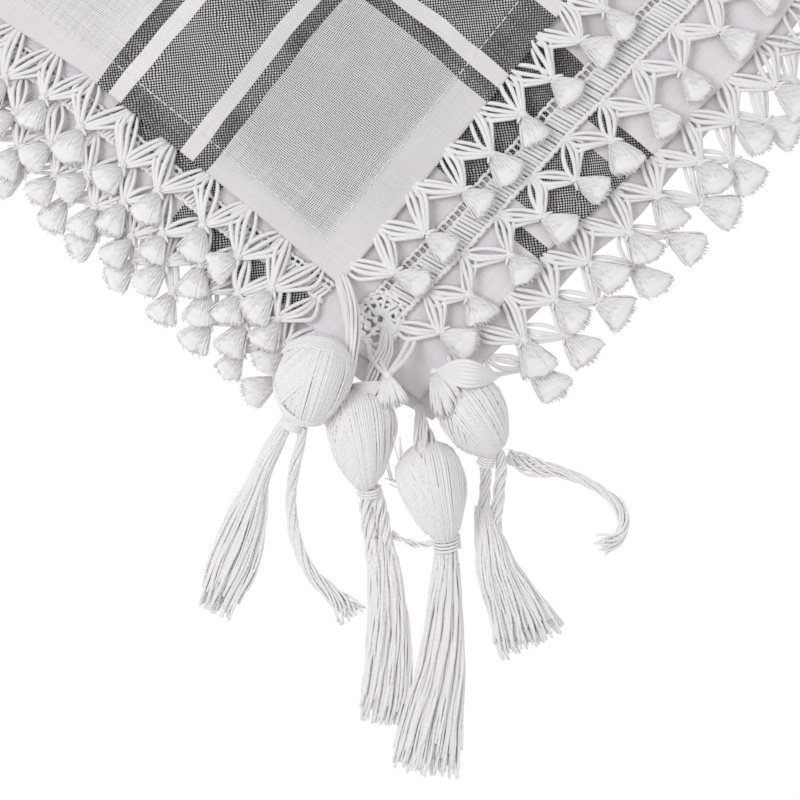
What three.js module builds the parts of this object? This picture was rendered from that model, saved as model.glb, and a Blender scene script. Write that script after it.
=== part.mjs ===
// A square cotton keffiyeh folded in quarters and laid flat: four layers of cloth, a knotted
// fringe along every free edge, and a wound tassel at each of the four stacked corners.
//
// Frame: millimetres, +Z up, underside at z = 0, origin under the middle of the bounding box.
// All tables below are written from the corner of the top layer: x runs along the front
// edges to the right, y runs along the side edges to the back, and the free corners, with
// their tassels, point to -x, -y. FRAME_SHIFT then moves the whole part to its origin.

import * as THREE from 'three';

// ---- driving dimensions -------------------------------------------------------------------

const FOLD_X = 537;            // top layer, free side edge to the right-hand fold
const FOLD_Y = 524;            // top layer, free front edge to the back fold
const CLOTH = 1.0;             // cloth and the air in it, one layer
const GAP = 0.3;               // between pieces that touch
const FRINGE_REACH = 19;       // edge of the cloth to the tip of the cut puffs
const FRINGE_THICK = 1.5;
const HEADING_THICK = 0.95;    // knotted band that carries the fringe
const CURL_RADIUS = 1.95;      // middle of the top layer where it turns over a fold
const FRAME_SHIFT = { x: -218.937, y: -203.3875 };

const PITCH = CLOTH + GAP;
const LAYER_BASE = { 4: 0, 3: PITCH, 2: 2 * PITCH, 1: 3 * PITCH };
const CURL_CENTRE = LAYER_BASE[1] + CLOTH / 2 - CURL_RADIUS;

// How far each layer's free edge stands outside the lines x = 0 and y = 0.
const FRONT_EDGES = [
  { along: -20, layer1: 0, layer2: 21, layer3: 40.4, layer4: 45 },
  { along: 0, layer1: 0, layer2: 21, layer3: 40.6, layer4: 46.5 },
  { along: 45, layer1: 0, layer2: 24, layer3: 42, layer4: 52 },
  { along: 75, layer1: 0, layer2: 25.5, layer3: 46.2, layer4: 57 },
  { along: 100, layer1: 0, layer2: 27.5, layer3: 50, layer4: 57 },
  { along: 135, layer1: 0, layer2: 30, layer3: 53, layer4: 57.5 },
  { along: 220, layer1: 1, layer2: 29, layer3: 48, layer4: 53 },
  { along: 380, layer1: 1, layer2: 20, layer3: 33, layer4: 37 },
  { along: 560, layer1: 0, layer2: 12, layer3: 18, layer4: 22 },
];
const SIDE_EDGES = [
  { along: -50, layer1: 0, layer2: 4.5, layer3: 11.7, layer4: 6 },
  { along: -20, layer1: 0, layer2: 4.5, layer3: 12, layer4: 17 },
  { along: 0, layer1: 0, layer2: 8, layer3: 15.5, layer4: 24 },
  { along: 45, layer1: -1, layer2: 10.5, layer3: 17.4, layer4: 23.8 },
  { along: 95, layer1: -1, layer2: 10.5, layer3: 17.4, layer4: 21.5 },
  { along: 135, layer1: 2, layer2: 11.5, layer3: 18, layer4: 21.5 },
  { along: 300, layer1: 0, layer2: 12, layer3: 19, layer4: 23 },
  { along: 560, layer1: 0, layer2: 10, layer3: 16, layer4: 20 },
];

// Soft ridges where the top layer doesn't lie quite flat.
const RIPPLES = [
  { x: 30, y: 75, heading: 12, length: 60, width: 16, height: 1.3 },
  { x: 82, y: 30, heading: 70, length: 55, width: 14, height: 1.1 },
  { x: 95, y: 100, heading: 40, length: 70, width: 18, height: 1.4 },
  { x: 190, y: 150, heading: 60, length: 110, width: 26, height: 2.2 },
  { x: 330, y: 90, heading: 95, length: 90, width: 24, height: 1.8 },
  { x: 120, y: 330, heading: 15, length: 120, width: 26, height: 2.0 },
  { x: 360, y: 330, heading: 140, length: 140, width: 30, height: 2.4 },
];

// Fringe strips: where each starts, and the height of its underside at the cloth and at the tip.
const FRINGES = [
  { layer: 1, side: 'front', start: 3, near: 4.9, far: 5.9 },
  { layer: 2, side: 'front', start: 0, near: 3.0, far: 4.5 },
  { layer: 3, side: 'front', start: 9, near: 1.75, far: 2.75 },
  { layer: 4, side: 'front', start: 10, near: 0, far: 0 },
  { layer: 1, side: 'side', start: 4, near: 5.0, far: 5.8 },
  { layer: 2, side: 'side', start: 2, near: 3.0, far: 4.5 },
  { layer: 3, side: 'side', start: -5, near: 1.75, far: 2.75 },
  { layer: 4, side: 'side', start: -9, near: 0, far: 0 },
];

// The knotted headings that show on the second layer, which lies wrong side up.
const HEADINGS = [
  { side: 'front', start: 6, width: 9.5 },
  { side: 'side', start: 2, width: 7.5 },
];

// Wound tassel bulbs: centre, half length, radius, and the way each points, away from the cloth.
const BULBS = [
  { tassel: 1, x: -26.9, y: -12.1, z: 19.4, half: 13.6, radius: 11.2, dx: -0.94, dy: -0.34, dz: -0.1 },
  { tassel: 2, x: -30.5, y: -35.2, z: 11, half: 15, radius: 11.0, dx: -0.755, dy: -0.657, dz: 0 },
  { tassel: 3, x: -30.5, y: -60.9, z: 10.6, half: 14.6, radius: 10.6, dx: -0.603, dy: -0.797, dz: 0 },
  { tassel: 4, x: -5.6, y: -57.0, z: 11, half: 11.6, radius: 11.0, dx: -0.4, dy: -0.917, dz: 0 },
];

// Everything drawn out into a bundle: z is the underside, wide and high are the section.
const BUNDLES = {
  neck_1: [
    { x: 0, y: -1, z: 5.3, wide: 6, high: 3.5 },
    { x: -4.5, y: -4.5, z: 8, wide: 8, high: 5 },
    { x: -10.5, y: -7, z: 12.5, wide: 9, high: 8 },
  ],
  skirt_1: [
    { x: -42.5, y: -14, z: 13.5, wide: 5, high: 5 },
    { x: -52, y: -15.5, z: 7, wide: 5, high: 5 },
    { x: -61, y: -18, z: 2, wide: 6, high: 5 },
    { x: -70, y: -21.5, z: 0, wide: 12, high: 6 },
    { x: -84, y: -27, z: 0, wide: 15, high: 6 },
    { x: -99, y: -32, z: 0, wide: 11, high: 4 },
  ],
  strand_1: [
    { x: -43, y: -20.5, z: 12.5, wide: 4, high: 4 },
    { x: -52, y: -24.5, z: 6, wide: 4, high: 4 },
    { x: -60, y: -29.5, z: 0, wide: 5, high: 4 },
    { x: -68, y: -38, z: 0, wide: 4, high: 3.5 },
    { x: -72.5, y: -47, z: 0, wide: 4.5, high: 3.5 },
    { x: -73.5, y: -56, z: 0, wide: 5, high: 3.5 },
    { x: -74.3, y: -63.5, z: 0, wide: 5, high: 3 },
  ],
  neck_2: [
    { x: -6, y: -22.5, z: 3.9, wide: 5, high: 4 },
    { x: -11, y: -24.5, z: 4, wide: 6, high: 5.5 },
    { x: -15.5, y: -25.8, z: 5, wide: 7, high: 8 },
  ],
  cord_2_left: [
    { x: -45.3, y: -46, z: 3.5, wide: 3.6, high: 4 },
    { x: -51, y: -52, z: 0.5, wide: 3.6, high: 4 },
    { x: -57.3, y: -58.8, z: 0.5, wide: 4, high: 4 },
  ],
  cord_2_right: [
    { x: -42.8, y: -50, z: 3.5, wide: 4.2, high: 4 },
    { x: -48, y: -56, z: 0.5, wide: 4.2, high: 4 },
    { x: -53.4, y: -62.2, z: 0.5, wide: 4.2, high: 4 },
  ],
  skirt_2: [
    { x: -56.5, y: -62.5, z: 0, wide: 11, high: 6 },
    { x: -69, y: -74, z: 0, wide: 12, high: 7 },
    { x: -81, y: -83, z: 0, wide: 12, high: 6 },
    { x: -91, y: -89.5, z: 0, wide: 12, high: 4 },
  ],
  neck_3: [
    { x: -13.2, y: -41.8, z: 0.8, wide: 5, high: 4 },
    { x: -17, y: -45.2, z: 1.5, wide: 6, high: 5.5 },
    { x: -19.8, y: -47.6, z: 3, wide: 6, high: 8 },
  ],
  skirt_3: [
    { x: -40.8, y: -74.3, z: 3, wide: 7, high: 7 },
    { x: -54, y: -84, z: 0, wide: 10, high: 6 },
    { x: -69, y: -95, z: 0, wide: 14, high: 7 },
    { x: -84.5, y: -104, z: 0, wide: 18, high: 6 },
    { x: -96.5, y: -111, z: 0, wide: 20, high: 4 },
  ],
  strand_3: [
    { x: -43.3, y: -69.2, z: 3, wide: 2.5, high: 2.5 },
    { x: -46.6, y: -66, z: 0.5, wide: 2.5, high: 2.5 },
    { x: -48, y: -61, z: 0.5, wide: 2, high: 2 },
  ],
  neck_4: [
    { x: 2.5, y: -41.8, z: 1.4, wide: 4.5, high: 3.5 },
    { x: 1, y: -45.2, z: 2.5, wide: 5, high: 5 },
  ],
  cord_4_left: [
    { x: -13.5, y: -67.6, z: 5, wide: 3.8, high: 4 },
    { x: -19.5, y: -69, z: 1, wide: 3.8, high: 4 },
    { x: -24, y: -72.5, z: 0.5, wide: 3.8, high: 4 },
    { x: -29.2, y: -77.6, z: 0.5, wide: 4, high: 4 },
  ],
  cord_4_right: [
    { x: -10.3, y: -70.6, z: 5, wide: 3.8, high: 4 },
    { x: -15, y: -74, z: 1, wide: 3.8, high: 4 },
    { x: -21, y: -78, z: 0.5, wide: 4, high: 4 },
    { x: -26.2, y: -81.4, z: 0.5, wide: 4, high: 4 },
  ],
  skirt_4: [
    { x: -31, y: -82.8, z: 0, wide: 10, high: 6 },
    { x: -37, y: -91, z: 0, wide: 12, high: 7 },
    { x: -42, y: -101.5, z: 0, wide: 17, high: 6 },
    { x: -46.8, y: -112, z: 0, wide: 22, high: 4 },
  ],
  strand_4: [
    { x: -7.2, y: -75, z: 0.5, wide: 5, high: 3 },
    { x: -5.1, y: -81, z: 0, wide: 6, high: 3 },
    { x: -1, y: -88.8, z: 0, wide: 3.5, high: 3 },
    { x: 1.5, y: -99.5, z: 0, wide: 3, high: 3 },
    { x: 1, y: -107.6, z: 0, wide: 4, high: 3 },
    { x: -2.4, y: -112, z: 0, wide: 4, high: 3 },
    { x: -7.4, y: -112.5, z: 0, wide: 4, high: 3 },
    { x: -12.6, y: -109.4, z: 0, wide: 3.5, high: 2.5 },
  ],
};

// The crocheted patch that finishes the second layer's corner.
const CORNER_PATCH = { x: -0.4, y: -15.6, radius: 5.2, thick: 0.9, sides: 8 };

// Faceting.
const TOP_CELLS = 20;
const CURL_STEPS = [40, 80, 120];
const EDGE_CELLS = 15;
const BUNDLE_SIDES = 10;
const BULB_SIDES = 14;
const BULB_STEPS = 10;

// ---- materials ----------------------------------------------------------------------------

const clothMaterial = new THREE.MeshStandardMaterial({ color: 0xdedade, roughness: 0.9, metalness: 0 });
const underMaterial = new THREE.MeshStandardMaterial({ color: 0xc9c6ca, roughness: 0.92, metalness: 0 });
const yarnMaterial = new THREE.MeshStandardMaterial({ color: 0xe8e5e6, roughness: 0.85, metalness: 0 });

// ---- small helpers ------------------------------------------------------------------------

function lookUp(table, along, column) {
  const last = table.length - 1;
  let row = 0;
  while (row < last - 1 && along > table[row + 1].along) {
    row += 1;
  }
  const here = table[row];
  const next = table[row + 1];
  const t = THREE.MathUtils.clamp((along - here.along) / (next.along - here.along), 0, 1);
  const eased = t * t * (3 - 2 * t);
  return here[column] + (next[column] - here[column]) * eased;
}

function frontEdge(layer, x) {
  return -lookUp(FRONT_EDGES, x, `layer${layer}`);
}

function sideEdge(layer, y) {
  return -lookUp(SIDE_EDGES, y, `layer${layer}`);
}

// A point of a layer: u runs from the free side edge to the fold, v from front edge to fold.
function layerPoint(layer, u, v, bulge = 0) {
  let x = FOLD_X * u;
  let y = FOLD_Y * v;
  for (let pass = 0; pass < 4; pass += 1) {
    x = THREE.MathUtils.lerp(sideEdge(layer, y), FOLD_X + bulge, u);
    y = THREE.MathUtils.lerp(frontEdge(layer, x), FOLD_Y + bulge, v);
  }
  return { x, y };
}

// Places along an edge, close together near the tassels and wider apart towards the fold.
function stations(fold) {
  return Array.from({ length: EDGE_CELLS }, (_, index) => fold * (index / EDGE_CELLS) ** 1.35);
}

function rippleHeight(x, y) {
  let height = 0;
  for (const ripple of RIPPLES) {
    const turn = THREE.MathUtils.degToRad(ripple.heading);
    const dx = x - ripple.x;
    const dy = y - ripple.y;
    const lengthwise = (dx * Math.cos(turn) + dy * Math.sin(turn)) / ripple.length;
    const crosswise = (dy * Math.cos(turn) - dx * Math.sin(turn)) / ripple.width;
    height += ripple.height * Math.exp(-lengthwise * lengthwise - crosswise * crosswise);
  }
  return height;
}

function geometryFrom(points, triangles) {
  const geometry = new THREE.BufferGeometry();
  geometry.setAttribute('position', new THREE.Float32BufferAttribute(points.flat(), 3));
  geometry.setIndex(triangles.flat());
  geometry.computeVertexNormals();
  return geometry;
}

// A closed slab from two matching grids of points, the upper one and the lower one.
function slab(columns, rows, upper, lower) {
  const points = [];
  const triangles = [];
  const count = (columns + 1) * (rows + 1);
  const at = (i, j) => i * (rows + 1) + j;
  for (const surface of [upper, lower]) {
    for (let i = 0; i <= columns; i += 1) {
      for (let j = 0; j <= rows; j += 1) {
        points.push(surface(i, j));
      }
    }
  }
  for (let i = 0; i < columns; i += 1) {
    for (let j = 0; j < rows; j += 1) {
      const [a, b, c, d] = [at(i, j), at(i + 1, j), at(i + 1, j + 1), at(i, j + 1)];
      triangles.push([a, b, c], [a, c, d]);
      triangles.push([count + a, count + c, count + b], [count + a, count + d, count + c]);
    }
  }
  const rim = [];
  for (let i = 0; i < columns; i += 1) rim.push(at(i, 0));
  for (let j = 0; j < rows; j += 1) rim.push(at(columns, j));
  for (let i = columns; i > 0; i -= 1) rim.push(at(i, rows));
  for (let j = rows; j > 0; j -= 1) rim.push(at(0, j));
  rim.forEach((a, index) => {
    const b = rim[(index + 1) % rim.length];
    triangles.push([a, count + a, count + b], [a, count + b, b]);
  });
  return geometryFrom(points, triangles);
}

// A closed solid through rings of equal point count, the first and last closed with a fan.
function throughRings(rings) {
  const points = rings.flat();
  const triangles = [];
  const sides = rings[0].length;
  for (let ring = 0; ring < rings.length - 1; ring += 1) {
    for (let side = 0; side < sides; side += 1) {
      const a = ring * sides + side;
      const b = ring * sides + (side + 1) % sides;
      triangles.push([a, b, b + sides], [a, b + sides, a + sides]);
    }
  }
  for (const end of [0, rings.length - 1]) {
    const centre = [0, 1, 2].map((axis) => (
      rings[end].reduce((sum, point) => sum + point[axis], 0) / sides
    ));
    points.push(centre);
    const middle = points.length - 1;
    for (let side = 0; side < sides; side += 1) {
      const a = end * sides + side;
      const b = end * sides + (side + 1) % sides;
      triangles.push(end === 0 ? [middle, b, a] : [middle, a, b]);
    }
  }
  return geometryFrom(points, triangles);
}

// ---- pieces -------------------------------------------------------------------------------

// The top quarter: rippled, and turned down over both folds.
function topLayer() {
  const turned = CURL_STEPS.length;
  const cells = TOP_CELLS + turned;
  const spread = (index) => (Math.min(index, TOP_CELLS) / TOP_CELLS) ** 1.35;
  const curl = (index) => (
    index <= TOP_CELLS ? 0 : THREE.MathUtils.degToRad(CURL_STEPS[index - TOP_CELLS - 1])
  );
  const surface = (offset) => (i, j) => {
    const flat = layerPoint(1, spread(i), spread(j));
    const radius = CURL_RADIUS + offset;
    const fade = THREE.MathUtils.clamp((FOLD_X - flat.x) / 30, 0, 1)
      * THREE.MathUtils.clamp((FOLD_Y - flat.y) / 30, 0, 1);
    const level = radius * Math.min(Math.cos(curl(i)), Math.cos(curl(j)));
    return [
      flat.x + radius * Math.sin(curl(i)),
      flat.y + radius * Math.sin(curl(j)),
      CURL_CENTRE + level + rippleHeight(flat.x, flat.y) * fade,
    ];
  };
  return slab(cells, cells, surface(CLOTH / 2), surface(-CLOTH / 2));
}

// The three layers under it, as one solid stepped at the free edges and rounded at the folds.
function underLayers() {
  const inside = CURL_RADIUS - CLOTH / 2 - GAP;
  const bulge = (z) => Math.sqrt(Math.max(inside ** 2 - (z - CURL_CENTRE) ** 2, 0));
  const ring = (layer, z) => {
    const corner = layerPoint(layer, 0, 0);
    const right = FOLD_X + bulge(z);
    const back = FOLD_Y + bulge(z);
    const alongX = stations(FOLD_X);
    const alongY = stations(FOLD_Y);
    return [
      [corner.x, corner.y, z],
      ...alongX.map((x) => [x, frontEdge(layer, x), z]),
      [right, frontEdge(layer, FOLD_X), z],
      ...alongY.map((y) => [right, y, z]),
      [right, back, z],
      ...alongX.map((x) => [x, back, z]).reverse(),
      [sideEdge(layer, FOLD_Y), back, z],
      ...alongY.map((y) => [sideEdge(layer, y), y, z]).reverse(),
    ];
  };
  const rings = [];
  for (const layer of [4, 3, 2]) {
    rings.push(ring(layer, LAYER_BASE[layer]), ring(layer, LAYER_BASE[layer] + CLOTH));
  }
  return throughRings(rings);
}

// A strip that follows a layer's edge, from one distance outside it to another.
function edgeStrip({ layer, side, start, from, to, nearBase, farBase, thick }) {
  const fold = side === 'front' ? FOLD_X : FOLD_Y;
  const places = [start, ...stations(fold).filter((place) => place > start + 1), fold - GAP];
  const surface = (lift) => (i, j) => {
    const along = places[i];
    const outward = THREE.MathUtils.lerp(from, to, side === 'front' ? 1 - j : j);
    const t = (outward - from) / (to - from);
    const z = THREE.MathUtils.lerp(nearBase, farBase, t) + lift;
    return side === 'front'
      ? [along, frontEdge(layer, along) - outward, z]
      : [sideEdge(layer, along) - outward, along, z];
  };
  return slab(places.length - 1, 1, surface(thick), surface(0));
}

function fringe({ layer, side, start, near, far }) {
  return edgeStrip({
    layer, side, start, from: GAP, to: GAP + FRINGE_REACH,
    nearBase: near, farBase: far, thick: FRINGE_THICK,
  });
}

function heading({ side, start, width }) {
  const base = LAYER_BASE[2] + CLOTH + GAP / 2;
  return edgeStrip({
    layer: 2, side, start, from: -width, to: 0,
    nearBase: base, farBase: base, thick: HEADING_THICK,
  });
}

// An egg of wound yarn on the Y axis, its narrow end at +Y.
function bulbGeometry({ half, radius }) {
  const profile = [];
  for (let step = 0; step <= BULB_STEPS; step += 1) {
    const turn = Math.PI * step / BULB_STEPS;
    const onAxis = step === 0 || step === BULB_STEPS;
    const r = onAxis ? 0 : radius * Math.sin(turn) * (1 + 0.1 * Math.cos(turn));
    profile.push(new THREE.Vector2(r, -half * Math.cos(turn)));
  }
  return new THREE.LatheGeometry(profile, BULB_SIDES);
}

// Yarn drawn together: oval sections square to the way the bundle runs.
function bundle(sections) {
  const rings = sections.map((section, index) => {
    const before = sections[Math.max(index - 1, 0)];
    const after = sections[Math.min(index + 1, sections.length - 1)];
    const heading = Math.atan2(after.y - before.y, after.x - before.x);
    const ring = [];
    for (let side = 0; side < BUNDLE_SIDES; side += 1) {
      const turn = 2 * Math.PI * (side + 0.5) / BUNDLE_SIDES;
      const across = section.wide / 2 * Math.cos(turn) / Math.cos(Math.PI / BUNDLE_SIDES);
      const up = section.high / 2 * (1 + Math.sin(turn));
      ring.push([
        section.x - across * Math.sin(heading),
        section.y + across * Math.cos(heading),
        section.z + up,
      ]);
    }
    return ring;
  });
  return throughRings(rings);
}

function cornerPatch() {
  const base = LAYER_BASE[2] + CLOTH + GAP / 2;
  const ring = (z) => {
    const points = [];
    for (let side = 0; side < CORNER_PATCH.sides; side += 1) {
      const turn = 2 * Math.PI * (side + 0.5) / CORNER_PATCH.sides;
      points.push([
        CORNER_PATCH.x + CORNER_PATCH.radius * Math.cos(turn),
        CORNER_PATCH.y + CORNER_PATCH.radius * Math.sin(turn),
        z,
      ]);
    }
    return points;
  };
  return throughRings([ring(base), ring(base + CORNER_PATCH.thick)]);
}

// ---- the scene ----------------------------------------------------------------------------

const keffiyeh = new THREE.Group();
keffiyeh.name = 'keffiyeh';
keffiyeh.position.set(FRAME_SHIFT.x, FRAME_SHIFT.y, 0);

function add(name, geometry, material) {
  const mesh = new THREE.Mesh(geometry, material);
  mesh.name = name;
  keffiyeh.add(mesh);
  return mesh;
}

add('top_layer', topLayer(), clothMaterial);
add('under_layers', underLayers(), underMaterial);

for (const row of FRINGES) {
  add(`fringe_${row.layer}_${row.side}`, fringe(row), yarnMaterial);
}

for (const row of HEADINGS) {
  add(`heading_2_${row.side}`, heading(row), yarnMaterial);
}
add('corner_patch_2', cornerPatch(), yarnMaterial);

for (const row of BULBS) {
  const bulb = add(`bulb_${row.tassel}`, bulbGeometry(row), yarnMaterial);
  const towards = new THREE.Vector3(row.dx, row.dy, row.dz).normalize();
  bulb.position.set(row.x, row.y, row.z);
  bulb.quaternion.setFromUnitVectors(new THREE.Vector3(0, 1, 0), towards);
}

for (const [name, sections] of Object.entries(BUNDLES)) {
  add(name, bundle(sections), yarnMaterial);
}

export default keffiyeh;
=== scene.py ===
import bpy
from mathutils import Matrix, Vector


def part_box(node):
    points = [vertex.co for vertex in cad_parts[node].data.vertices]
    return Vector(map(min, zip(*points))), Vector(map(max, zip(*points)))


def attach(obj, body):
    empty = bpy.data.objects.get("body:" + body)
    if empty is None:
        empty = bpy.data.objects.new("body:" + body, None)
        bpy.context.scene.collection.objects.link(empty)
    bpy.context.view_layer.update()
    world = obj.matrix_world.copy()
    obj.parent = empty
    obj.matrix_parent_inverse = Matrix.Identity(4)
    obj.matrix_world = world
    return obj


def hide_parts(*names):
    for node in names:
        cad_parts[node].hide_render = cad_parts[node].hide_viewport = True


bl_info = {
    "name": "Keffiyeh Folded in Quarters",
    "version": (1, 0, 0),
    "blender": (4, 5, 0),
    "location": "3D View > Sidebar > Keffiyeh",
    "description": "Builds a folded cotton keffiyeh with its woven bands, knotted fringe and wound tassels",
    "category": "Add Mesh",
}

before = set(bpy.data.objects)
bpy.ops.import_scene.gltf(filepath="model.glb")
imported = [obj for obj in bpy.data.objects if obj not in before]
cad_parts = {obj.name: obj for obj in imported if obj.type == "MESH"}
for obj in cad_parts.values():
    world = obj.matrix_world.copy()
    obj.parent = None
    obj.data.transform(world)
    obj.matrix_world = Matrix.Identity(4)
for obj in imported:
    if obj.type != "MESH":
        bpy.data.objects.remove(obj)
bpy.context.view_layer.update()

import math

import bpy
import numpy as np
from mathutils import Vector

MM = 0.001

# ---- the form, in millimetres from the corner of the top layer ----------------------------
# x runs along the front edges towards the right-hand fold and y along the side edges towards
# the back fold. Layer 1 is on top and layer 4 lies on the surface.

FOLD_X = 537.0
FOLD_Y = 524.0
FOLD_BULGE = 1.15              # how far the lower layers' folds stand past FOLD_X and FOLD_Y
LAYER_MIDDLE = {1: 4.65, 2: 2.85, 3: 2.05, 4: 0.3}
YARN_START = {1: 3.75, 2: 3.9, 3: 1.15, 4: 1.1}   # height where each layer's fringe leaves it
SHIFT = np.array([
    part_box("under_layers")[1][0] / MM - FOLD_X - FOLD_BULGE,
    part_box("under_layers")[1][1] / MM - FOLD_Y - FOLD_BULGE,
    0.0,
])


def table(columns, *rows):
    """A table of numbers with named columns."""
    return {name: np.array(values, float) for name, values in zip(columns.split(), zip(*rows))}


# How far each layer's free edge stands outside the lines x = 0 and y = 0.
FRONT_EDGES = table(
    "along layer1 layer2 layer3 layer4",
    (-20, 0, 21, 40.4, 47),
    (0, 0, 21, 40.6, 48),
    (45, 0, 24, 42, 52),
    (75, 0, 25.5, 46.2, 57),
    (100, 0, 27.5, 50, 57),
    (135, 0, 30, 53, 57.5),
    (220, 1, 29, 48, 53),
    (380, 1, 20, 33, 37),
    (560, 0, 12, 18, 22),
)
SIDE_EDGES = table(
    "along layer1 layer2 layer3 layer4",
    (-50, 0, 4.5, 11.7, 14),
    (-20, 0, 4.5, 12, 18.5),
    (0, 0, 8, 15.5, 24),
    (45, -1, 10.5, 17.4, 23.8),
    (95, -1, 10.5, 17.4, 21.5),
    (135, 2, 11.5, 18, 21.5),
    (300, 0, 12, 19, 23),
    (560, 0, 10, 16, 20),
)
RIPPLES = table(
    "x y heading length width height",
    (30, 75, 12, 60, 16, 1.3),
    (82, 30, 70, 55, 14, 1.1),
    (95, 100, 40, 70, 18, 1.4),
    (190, 150, 60, 110, 26, 2.2),
    (330, 90, 95, 90, 24, 1.8),
    (120, 330, 15, 120, 26, 2.0),
    (360, 330, 140, 140, 30, 2.4),
)

# Where each row of fringe starts, the height under its knots, how far inside the edge it is
# sewn on, how far out its knots lie, and the knots nearest the tassels, listed one by one.
FRINGES = (
    dict(layer=1, side="front", start=3, far=5.9, tuck=3.0, knot=10.5,
         knots=(13, 28, 45, 59, 74, 88, 102, 114)),
    dict(layer=2, side="front", start=0, far=4.5, tuck=0.0, knot=10.8,
         knots=(8, 22, 39, 54, 69, 85, 100, 115, 131)),
    dict(layer=3, side="front", start=9, far=2.75, tuck=2.0, knot=11.5, size=1.2,
         knots=(22, 37, 52, 67, 81, 97, 113, 129)),
    dict(layer=4, side="front", start=10, far=0.0, tuck=0.0, knot=10.5, size=1.25,
         knots=(17, 31, 45, 60, 74, 88, 104, 119)),
    dict(layer=1, side="side", start=4, far=5.8, tuck=1.5, knot=13.5,
         knots=(15, 29, 43, 60, 73, 90, 104, 117)),
    dict(layer=2, side="side", start=2, far=4.5, tuck=0.0, knot=11.5,
         knots=(8, 22, 36, 51, 66, 79, 94, 108)),
    dict(layer=3, side="side", start=-5, far=2.75, tuck=2.0, knot=10.5,
         knots=(2, 15, 30, 45, 58, 72, 87, 101)),
    dict(layer=4, side="side", start=-9, far=0.0, tuck=0.0, knot=10.5,
         knots=(-3, 11, 24, 38, 53, 67, 81, 96)),
)

# Tassel bulbs: centre, half length, radius, direction away from the cloth, and taper.
BULBS = (
    dict(tassel=1, x=-26.9, y=-12.1, z=19.4, half=14.0, radius=11.3, dx=-0.94, dy=-0.34, dz=-0.1, taper=0.10),
    dict(tassel=2, x=-31.6, y=-34.2, z=11.0, half=15.6, radius=10.5, dx=-0.755, dy=-0.657, dz=0, taper=0.38),
    dict(tassel=3, x=-30.5, y=-60.9, z=10.8, half=15.4, radius=10.4, dx=-0.603, dy=-0.797, dz=0, taper=0.30),
    dict(tassel=4, x=-5.6, y=-56.6, z=11.2, half=12.6, radius=10.9, dx=-0.4, dy=-0.917, dz=0, taper=0.22),
)

# Windings on the bulbs: lean of the yarn from the bulb's length in degrees, the first and last
# turn as shares of the half width square to that, turns, and lift above the core.
WINDINGS = (
    dict(tassel=1, lean=-8, first=-0.97, last=0.97, turns=30, lift=0.0),
    dict(tassel=1, lean=-38, first=-0.95, last=0.0, turns=19, lift=0.3),
    dict(tassel=1, lean=4, first=-0.16, last=0.96, turns=23, lift=0.62),
    dict(tassel=1, lean=76, first=-0.97, last=-0.80, turns=6, lift=1.0),
    dict(tassel=1, lean=99, first=0.72, last=0.93, turns=7, lift=0.95),
    dict(tassel=2, lean=18, first=-0.97, last=0.97, turns=30, lift=0.0),
    dict(tassel=2, lean=-30, first=-0.95, last=0.45, turns=25, lift=0.3),
    dict(tassel=2, lean=12, first=-0.35, last=0.96, turns=22, lift=0.6),
    dict(tassel=3, lean=-16, first=-0.97, last=0.97, turns=30, lift=0.0),
    dict(tassel=3, lean=20, first=-0.96, last=0.2, turns=21, lift=0.3),
    dict(tassel=3, lean=-3, first=-0.1, last=0.96, turns=20, lift=0.6),
    dict(tassel=4, lean=-26, first=-0.97, last=0.97, turns=30, lift=0.0),
    dict(tassel=4, lean=10, first=-0.5, last=0.95, turns=26, lift=0.4),
)

# Tassel bundles: x, y, height of the underside, width and depth along each.
NECKS = (
    dict(name="1", strands=18, radius=0.52, turns=0.25, points=(
        (2.6, 2.2, 3.8, 4, 1.5), (0.4, -1.5, 5.4, 5, 3), (-3.4, -7.2, 10.5, 5.5, 4.5),
        (-8, -12, 15.5, 5, 5.5),
        (-14, -16.4, 17, 4.5, 6), (-21, -20.2, 16.5, 4, 6), (-29, -22.4, 14.5, 3.4, 5),
        (-35, -22.4, 13.5, 2.6, 4))),
    dict(name="2", strands=16, radius=0.5, turns=0.3, points=(
        (-1.5, -19, 3.6, 4, 2), (-6, -22.5, 4.2, 5, 3.5), (-12, -25, 7, 6.5, 6),
        (-19, -28.5, 12, 9, 8))),
    dict(name="3", strands=16, radius=0.5, turns=0.3, points=(
        (-13, -41, 0.8, 2.6, 2), (-15, -43.2, 2.6, 3.4, 4), (-18, -46.4, 6.5, 5.4, 6),
        (-22, -50.5, 10, 8, 8))),
    dict(name="4", strands=14, radius=0.48, turns=0.3, points=(
        (4, -38.5, 1.8, 4, 2), (2.5, -41.8, 2.2, 4.5, 3.5), (0.5, -46, 6.5, 6, 6),
        (-1, -50, 11, 7, 8))),
)
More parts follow.
